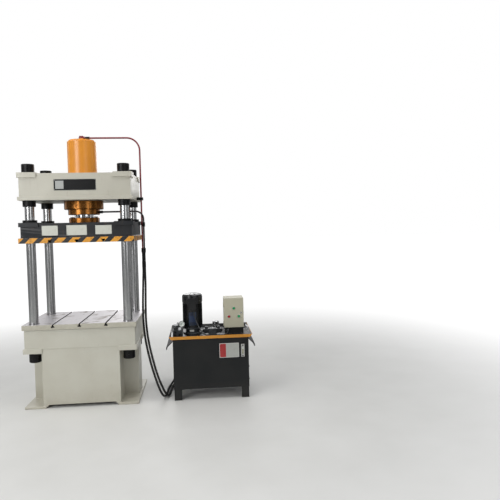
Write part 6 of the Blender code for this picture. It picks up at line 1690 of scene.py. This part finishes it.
    def build_plates(self) -> None:
        """Build the curved label on the motor and the tag on its adaptor."""
        low, high = self.label_z
        radius = self.housing_r[1] + 0.0004
        outer = radius + 0.0008
        start, sweep = self.label_deg
        steps = [math.radians(start + sweep * step / 24) for step in range(25)]
        outline = [(outer * math.cos(a), outer * math.sin(a) + radius) for a in steps]
        outline += [(radius * math.cos(a), radius * math.sin(a) + radius) for a in reversed(steps)]
        label = Shape()
        label.prism(outline, (low - high) / 2, (high - low) / 2, "Z", 0.0002, 1)
        self.put(
            "motor_label", label,
            PlateFilm(
                "navy_motor_label", "motor_paint", colour="#0F1E36", field_colour="#162C4E",
                field=(-0.028, 0.028, 0.03), rim="#2B4A6B", half=(0.034, 0.061), rim_m=0.0016,
                roughness=0.3, soil=0.15),
            self.at(self.axis[0], -radius, (low + high) / 2))
        bare_plate(
            self, "adaptor_tag", self.tag, self.tag_face,
            PlateFilm(
                "bright_adaptor_tag", "chrome", colour="#D4D4CE", half=(0.021, 0.01), rim_m=0.001),
            rivet_r=0.0012)


@dataclass
class Valves(Stand):
    """Valve block with relief valve, outlets and gauge, and the directional valve."""

    block_low: Triple = (-0.352, -0.19, LID_SEAT)
    block_high: Triple = (-0.262, -0.06, 0.6443)
    relief: Quad = (-0.325, -0.135, 0.022, 0.034)
    relief_top: float = 0.6843
    outlet_x: Pair = (-0.3265, -0.2845)
    outlet_r: float = 0.009
    outlet_z: float = 0.622
    outlet_bend: float = 0.034
    outlet_nut_z: float = 0.506
    outlet_foot_z: float = 0.3003
    drop_y: float = 0.322
    gauge: Triple = (-0.2685, -0.13, 0.694)
    gauge_r: float = 0.0275
    stem_z: float = 0.6446
    valve: Triple = (0.02015, -0.135, 0.6183)

    def build(self) -> None:
        """Build the block, the knob, the gauge and the directional valve."""
        self.build_block()
        self.build_knob()
        self.build_gauge()
        self.build_valve()

    def build_block(self) -> None:
        """Build the ported block with its plugs, screws and outlet pipes."""
        low, high = self.block_low, self.block_high
        place = self.at(*low)
        wide, deep, tall = (b - a for a, b in zip(low, high))
        block = Shape()
        block.block((0, 0, 0), (wide, deep, tall), 0.0015)
        x, y, half_x, half_y = self.relief
        rx, ry = x - low[0], y - low[1]
        top = self.relief_top - low[2]
        block.block(
            (rx - half_x, ry - half_y, tall - 0.002), (rx + half_x, ry + half_y, top), 0.0035, 3)
        block.paint = 1
        for x, y in corners(half_x - 0.007, half_y - 0.008):
            block.socket_screw((rx + x, ry + y, top - 0.0004), Axis.Z, 0.005, 0.0004)
        for z in (tall * 0.3, tall * 0.72):
            block.hex_screw((wide * 0.24, 0.0003, z), Axis.MINUS_Y, 0.0088, 0.006)
        block.hex_screw((wide * 0.7, 0.0003, tall * 0.35), Axis.MINUS_Y, 0.007, 0.005)
        for x, y in corners(wide / 2 - 0.008, deep / 2 - 0.008):
            spot = (wide / 2 + x, deep / 2 + y, tall - 0.0004)
            block.socket_screw(spot, Axis.Z, 0.0052, 0.0004)
        for pipe_x in self.outlet_x:
            self.add_outlet(block, pipe_x - low[0], deep)
        self.put(
            "valve_block", block, (SUBPLATE_IRON, OXIDE, SHADED_MAROON_PIPE), place, node="valve_manifold")

    def add_outlet(self, block: Shape, x: float, deep: float) -> None:
        """Add a pipe from the block's rear down to a hose, with its nuts and its tail.

        Args:
            block: The block's shape.
            x: Where the pipe leaves the block.
            deep: Depth of the block.
        """
        _, low_y, low_z = self.block_low
        y, z, bend = self.drop_y - low_y, self.outlet_z - low_z, self.outlet_bend
        bore = self.outlet_r - 0.0002
        nut, foot = self.outlet_nut_z - low_z, self.outlet_foot_z - low_z
        # The outlet pipe takes the maroon pipe paint darkened to near black, as painted shade.
        block.paint = 2
        line = [(x, deep, z), (x, deep + 0.02, z), (x, 0.3, z)]
        line += arc((x, y - bend, z - bend), (x, y - bend, z), (x, y, z - bend), 12)
        block.tube([*line, (x, y, nut + 0.014)], self.outlet_r, 24)
        block.paint = 1
        hex_nut(block, (x, deep - 0.0005, z), Axis.Y, 0.014, 0.018, bore)
        hex_nut(block, (x, y, nut), Axis.Z, 0.014, 0.034, bore)
        block.turned([
            (0, foot), (0.01, foot), (0.0108, foot + 0.001), (0.0108, foot + 0.05),
            (0.0092, foot + 0.053), (0.0092, nut - 0.008), (0.0108, nut - 0.006),
            (0.0108, nut + 0.001), (0, nut + 0.001)], (x, y, 0), sides=32)

    def build_knob(self) -> None:
        """Build the relief valve's fluted knob with its lock nut."""
        x, y, _, half_y = self.relief
        z = (self.block_high[2] + self.relief_top) / 2
        knob = Shape()
        points = []
        for step in range(96):
            angle = math.tau * step / 96
            radius = 0.0148 * (0.955 + 0.045 * math.cos(12 * angle))
            points.append((radius * math.cos(angle), radius * math.sin(angle)))
        knob.prism(points, -0.034, -0.0122, "Y", 0.0006, 1)
        knob.paint = 1
        knob.rod(0.007, 0.0003, 0.014, axis=Axis.MINUS_Y, sides=24)
        hex_nut(knob, (0, -0.0062, 0), Axis.Y, 0.0105, 0.005, 0.0068)
        self.put(
            "hand_knob", knob, (BLACK_PLASTIC, BRIGHT_STEEL), self.at(x, y - half_y - 0.0003, z),
            "knob", "relief_knob")

    def build_gauge(self) -> None:
        """Build the gauge: pressed case, dial with bare tick marks, pointer and pane."""
        place = self.at(*self.gauge)
        r = self.gauge_r
        inner = r - 0.0025
        case = Shape()
        case.turned([
            (0, 0.001), (inner, 0.001), (inner, 0.013), (inner + 0.0006, 0.013),
            (r - 0.0004, 0.0128), (r, 0.0115), (r, 0.008), (r - 0.0014, 0.007),
            (r - 0.0014, -0.0115), (r - 0.003, -0.013), (0, -0.013)], axis=Axis.MINUS_Y, sides=72)
        stem_low = self.stem_z - self.gauge[2]
        case.turned([
            (0, stem_low), (0.0068, stem_low), (0.007, stem_low + 0.0004), (0.007, -r + 0.003),
            (0, -r + 0.003)], sides=24)
        hex_nut(case, (0, 0, stem_low + 0.006), Axis.Z, 0.0098, 0.009, 0.0068)

        def choose(middle: Vector, normal: Vector) -> int:
            """Tell the dial from the case round it."""
            front = abs(middle.y + 0.001) < 0.0006 and normal.y < -0.7
            return int(front and math.hypot(middle.x, middle.z) < inner)

        case.dress(choose)
        case.paint = 2
        for step in range(51):
            mark, half = (0.006, 0.00042) if step % 5 == 0 else (0.0042, 0.0002)
            angle = math.radians(225 - 270 * step / 50)
            tick = spoke(angle, inner - mark, inner - 0.0022, half, half)
            case.prism(tick, -0.00125, -0.00095, "Y")
        self.put(
            "gauge_body", case, (BRIGHT_STEEL, DIAL_FACE, POINTER_BLACK), place, node="gauge_case")
        hand = Shape()
        angle = math.radians(225)
        along = Vector((math.cos(angle), math.sin(angle)))
        across = Vector((-along.y, along.x))
        hand.prism([
            along * 0.018, along * 0.004 + across * 0.0009, across * 0.0011,
            across * 0.0011 - along * 0.006, across * -0.0011 - along * 0.006, across * -0.0011,
            along * 0.004 - across * 0.0009], -0.0005, 0.0005, "Y")
        hand.turned([
            (0, -0.002), (0.0032, -0.002), (0.0032, 0.0012), (0.0022, 0.002),
            (0, 0.002)], axis=Axis.MINUS_Y, sides=24)
        x, y, z = self.gauge
        self.put(
            "gauge_hand", hand, POINTER_BLACK, self.at(x, y - 0.0045, z), "pointer",
            "gauge_pointer")
        pane = Shape()
        pane.rod(inner - 0.0004, 0.01, 0.012, axis=Axis.MINUS_Y, sides=64, edge=0.0003)
        self.put("gauge_pane", pane, PANE, place, node="gauge_glass")

    def build_valve(self) -> None:
        """Build the directional valve: cast body, two coils with plugs, hand pins."""
        place = self.at(*self.valve)
        foot = LID_SEAT - self.valve[2]
        base = foot + 0.015
        valve = Shape()
        valve.block((-0.04, -0.036, foot), (0.04, 0.036, base), 0.0015)
        valve.paint = 1
        valve.block((-0.033, -0.024, base - 0.002), (0.033, 0.024, 0.023), 0.003, 3)
        valve.paint = 2
        for x, y in corners(0.024, 0.017):
            valve.socket_screw((x, y, 0.0226), Axis.Z, 0.0042, 0.0004)
        for side, way in ((-1, Axis.MINUS_X), (1, Axis.X)):
            valve.paint = 3
            near, far = side * 0.0325, side * 0.085
            valve.block((min(near, far), -0.021, -0.021), (max(near, far), 0.021, 0.021), 0.004, 3)
            middle = side * 0.057
            valve.block((middle - 0.014, -0.014, 0.0205), (middle + 0.014, 0.014, 0.0425), 0.003, 3)
            valve.paint = 2
            valve.turned([
                (0, 0), (0.012, 0), (0.012, 0.006), (0.01, 0.0075), (0.01, 0.01), (0.0075, 0.0118),
                (0, 0.0118)], (side * 0.085, 0, 0), way, 32)
            valve.socket_screw((middle, 0, 0.0422), Axis.Z, 0.003, 0.0006)
        self.put(
            "spool_valve", valve, (SUBPLATE_IRON, VALVE_IRON, OXIDE, BLACK_PLASTIC), place,
            node="directional_valve")


@dataclass
class ControlBox(Stand):
    """Control box on its bracket: hinged door, push buttons, lock and switchgear."""

    centre_x: float = 0.227
    width: float = 0.186
    front: float = -0.1425
    depth: float = 0.19
    reach: Pair = (0.641, 0.921)
    door_t: float = 0.018
    hinge: Pair = (0.1295, -0.1245)
    hinge_z: Pair = (0.6914, 0.8706)
    buttons: tuple[tuple[str, float, float], ...] = (
        ("down", 0.0, 0.825), ("stop", -0.047, 0.747), ("up", 0.047, 0.747))
    lock: Pair = (0.07, 0.781)
    # Black sheet across the bracket's open front, as painted shade, with a hole for the lead.
    apron: Triple = (0.0858, 0.0196, 0.056)
    apron_hole: Pair = (-0.0612, 0.0385)

    def build(self) -> None:
        """Build the box, its door with buttons and lock, the bracket, the inside and the lead."""
        place = self.at(self.centre_x, self.front, self.reach[0])
        self.keep("box_shell", "box_body", 0.001, BOX_POWDER, place)
        place = self.at(self.centre_x, self.front, LID_SEAT)
        self.keep("box_bracket", "box_stand", 0.001, TANK_ENAMEL, place)
        # A thin black apron shuts the bracket's front: a dark sheet of painted shade, put where the
        # open bracket shows only shade. The lead passes through its hole.
        half, front, high = self.apron
        apron = Shape()
        apron.block((-half, front, 0.0004), (half, front + 0.0016, high), 0.0005)
        hole = Shape()
        x, z = self.apron_hole
        hole.tube([(x, front - 0.01, z), (x, front + 0.012, z)], 0.0095, 28)
        apron.cut(hole)
        self.put("bracket_apron", apron, TANK_ENAMEL, place)
        self.build_door()
        self.build_buttons()
        x, z = self.lock
        place = self.at(self.centre_x + x, self.front, z)
        self.keep("lock_barrel", "door_lock", 0.0004, BRIGHT_STEEL, place, "lock")
        self.build_inside()
        low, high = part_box("motor_cable")
        self.keep("motor_lead", "motor_cable", 0.0, GUARD_PLASTIC, (low + high) / 2)

    def build_door(self) -> None:
        """Build the folded door with its knuckles and the bezels round the buttons."""
        low, high = self.reach
        hinge_x, hinge_y = self.hinge
        place = self.at(hinge_x, hinge_y, low)
        tall = high - low
        left = self.centre_x - self.width / 2 - hinge_x
        door = Shape()
        door.block((left, -self.door_t, 0.0), (left + self.width, 0.0, tall), 0.0028, 3)
        pan = Shape()
        pan.block(
            (left + 0.002, -self.door_t + 0.002, 0.002),
            (left + self.width - 0.002, 0.02, tall - 0.002), 0.0008)
        bores = Shape()
        shift = self.centre_x - hinge_x
        spots = [(x + shift, z - low) for _, x, z in self.buttons]
        for x, z in spots:
            bores.tube([(x, -0.03, z), (x, 0.03, z)], 0.0123, 32)
        x, z = self.lock[0] + shift, self.lock[1] - low
        bores.tube([(x, -0.03, z), (x, 0.03, z)], 0.0061, 24)
        door.cut(pan)
        door.cut(bores)
        door.paint = 0
        for z in self.hinge_z:
            middle = z - low
            door.rod(0.004, middle - 0.015, middle + 0.015, sides=24, edge=0.0005)
            door.block(
                (0.0, -0.004, middle - 0.011), (left + 0.003, -0.002, middle + 0.011), 0.0004)
        for x, z in spots:
            door.paint = 1
            door.turned([
                (0.0121, 0.004), (0.0135, 0.004), (0.015, 0.0026), (0.0155, 0.0008), (0.0155, 0.0),
                (0.0122, 0.0)], (x, -self.door_t, z), Axis.MINUS_Y, 48)
            door.paint = 2
            door.turned([
                (0.0122, 0.0021), (0.0152, 0.0021), (0.0152, 0.0258),
                (0.0122, 0.0258)], (x, -self.door_t, z), Axis.Y, 32)
        self.put("door", door, (BOX_POWDER, BRIGHT_STEEL, BLACK_PLASTIC), place, "door", "box_door")

    def build_buttons(self) -> None:
        """Build the three push caps with their stems."""
        finish = {"down": GREEN_PLASTIC, "up": GREEN_PLASTIC, "stop": RED_PLASTIC}
        for name, x, z in self.buttons:
            cap = Shape()
            cap.turned([
                (0, -0.0165), (0.0074, -0.0165), (0.0074, -0.0062), (0.0114, -0.006), (0.0115, 0.0),
                (0.0115, 0.0052), (0.0108, 0.0064), (0.009, 0.0068), (0.006, 0.0064),
                (0, 0.0062)], axis=Axis.MINUS_Y, sides=48)
            self.put(
                f"cap_{name}", cap, finish[name], self.at(self.centre_x + x, self.front - 0.004, z),
                f"button_{name}_cap", f"button_{name}")

    def build_inside(self) -> None:
        """Build the mounting plate with its contactors and terminals."""
        place = self.at(self.centre_x, self.front, self.reach[0])
        plate = self.node("contactor_plate", place, 0.0008)
        back = self.depth

        def choose(middle: Vector, normal: Vector) -> int:
            """Tell plate, switchgear and terminal strip apart by where they are."""
            if middle.y > back - 0.014:
                return 1
            return 2 if middle.z < 0.09 else 0

        plate.dress(choose)
        self.put(
            "switchgear", plate, (GREY_PLASTIC, BRIGHT_STEEL, WHITE_PLASTIC), place,
            node="contactor_plate")


@dataclass
class Studio:
    """Floor, lights and the camera of the photograph.

    Attributes:
        press: The press's centre line on the floor.
    """

    press: Vector
    eye: Triple = (1.106, -5.03, 1.6)
    yaw: float = -0.0956
    pitch: float = -0.0463
    roll: float = -0.0219
    focal_px: float = 509.8
    picture_px: float = 500.0
    sensor_mm: float = 36.0
    window_strength: float = 1.15
    floor_half: float = 60.0
    floor_z: float = -0.0004

    def build(self) -> None:
        """Build the camera, the floor, the lights and the sky."""
        self.build_camera()
        self.build_floor()
        self.build_lights()
        self.build_sky()

    def build_camera(self) -> None:
        """Build the camera at the photograph's place and angle."""
        lens = bpy.data.cameras.new("camera")
        lens.sensor_width = self.sensor_mm
        lens.lens = self.focal_px / self.picture_px * self.sensor_mm
        lens.clip_end = 200.0
        camera = add_object("camera", lens)
        turn = Matrix.Translation(self.press + Vector(self.eye))
        for angle, axis in ((self.yaw, "Z"), (math.pi / 2 + self.pitch, "X"), (self.roll, "Z")):
            turn = turn @ Matrix.Rotation(angle, 4, axis)
        camera.matrix_world = turn
        bpy.context.scene.camera = camera

    def build_floor(self) -> None:
        """Build the pale floor, which fades to the white surroundings far from the press."""
        g = Graph("studio_floor")
        cloud = g.add("TexNoise", {"Scale": per_mm(400), "Detail": 4.0})
        away = g.add("VectorMath", (g.place,), "Value", operation="LENGTH")
        fade = g.add("MapRange", (away, 1.6, 6.0, 0.0, 1.0), interpolation_type="SMOOTHSTEP")
        seen = g.add("LightPath", out="Is Camera Ray")
        white = g.add("Math", (fade, seen), operation="MULTIPLY")
        material = g.finish(
            "#CFCEC9", (cloud, "#DCDBD7"), (white, "#000000"), Roughness=0.55,
            Emission_Color=linear("#FFFFFF"), Emission_Strength=white)
        mesh = bpy.data.meshes.new("floor")
        size, z = self.floor_half, self.floor_z
        mesh.from_pydata([
            (-size, -size, z), (size, -size, z), (size, size, z),
            (-size, size, z)], [], [(0, 1, 2, 3)])
        mesh.materials.append(material)
        floor = add_object("floor", mesh)

    def build_lights(self) -> None:
        """Build the large soft lamps: overhead rows, a key and a fill."""
        lamps = (
            ("overhead_left", (-2.6, -0.8, 5.2), (-0.5, 0.0, 1.2), (3.4, 1.8), 92.0),
            ("overhead_right", (1.7, -1.0, 5.2), (0.2, 0.0, 1.0), (3.4, 1.8), 78.0),
            ("key", (-3.6, -5.2, 3.0), (-0.3, 0.0, 1.0), (2.6, 2.2), 150.0),
            ("fill", (3.6, -5.4, 2.2), (0.2, 0.0, 0.8), (2.6, 2.2), 34.0),
            ("rear", (0.6, 5.4, 3.4), (0.0, 0.0, 1.2), (3.4, 2.2), 70.0))
        for name, place, aim, size, watts in lamps:
            data = bpy.data.lights.new(name, "AREA")
            data.shape = "RECTANGLE"
            data.size, data.size_y = size
            data.energy = watts
            lamp = add_object(name, data)
            lamp.location = place
            lamp.rotation_euler = (Vector(aim) - Vector(place)).to_track_quat("-Z", "Y").to_euler()

    def build_sky(self) -> None:
        """Build the surroundings: white where seen, a hall with windows where mirrored."""
        g = Graph("studio", world=True)
        bpy.context.scene.world = g.owner
        # Windows and dark wall bays alternate round the hall, each about 24 degrees wide.
        place = g.place.node.outputs["Generated"]
        x = g.add("SeparateXYZ", (place,), "X")
        y = g.add("SeparateXYZ", (place,), "Y")
        turn = g.add("Math", (x, y), operation="ARCTAN2")
        bays = g.add("Math", (turn, 7.5, math.pi), operation="MULTIPLY_ADD")
        wave = g.add("Math", (bays,), operation="SINE")
        pane = g.add("MapRange", (wave, -0.25, 0.35), interpolation_type="SMOOTHSTEP")
        # The hall is darker on the camera's side, so dark enamel stays dark from the front.
        depth = g.add("MapRange", (y, -0.7, 0.8, 0.22, 1.0))
        lit = g.add("Math", (depth, self.window_strength), operation="MULTIPLY")
        bright = g.add("Background", (linear("#FFFFFF"), lit))
        dim = g.add("Background", (linear("#6B6C70"), 0.35))
        soft = g.add("Background", (linear("#F4F8FF"), 0.36))
        seen = g.add("Background", (linear("#FFFFFF"), 1.0))
        glossy = g.add("LightPath", out="Is Glossy Ray")
        camera = g.add("LightPath", out="Is Camera Ray")
        hall = g.add("MixShader", (pane, dim, bright))
        mirrored = g.add("MixShader", (glossy, soft, hall))
        all_rays = g.add("MixShader", (camera, mirrored, seen))
        g.feed(g.tree.nodes["World Output"].inputs["Surface"], all_rays)


def centre_of(node: str) -> Vector:
    """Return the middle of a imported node's box, on the floor."""
    low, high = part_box(node)
    return Vector(((low.x + high.x) / 2, (low.y + high.y) / 2, 0.0))


def main() -> None:
    """Build the press, its power unit and the studio round them."""
    logging.basicConfig(level=logging.INFO, format="%(name)s: %(message)s")
    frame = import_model()
    press = centre_of("cylinder_barrel")
    unit = centre_of("tank_body")
    bpy.context.scene.view_settings.view_transform = "Standard"
    Studio(press).build()
    Hoses(frame, press).build()
    for group in (Bed, Columns, Crown, Slide, Cylinder, Piping):
        group(frame, press).build()
    for group in (Tank, Motor, Valves, ControlBox):
        group(frame, unit).build()


if __name__ == "__main__":
    main()
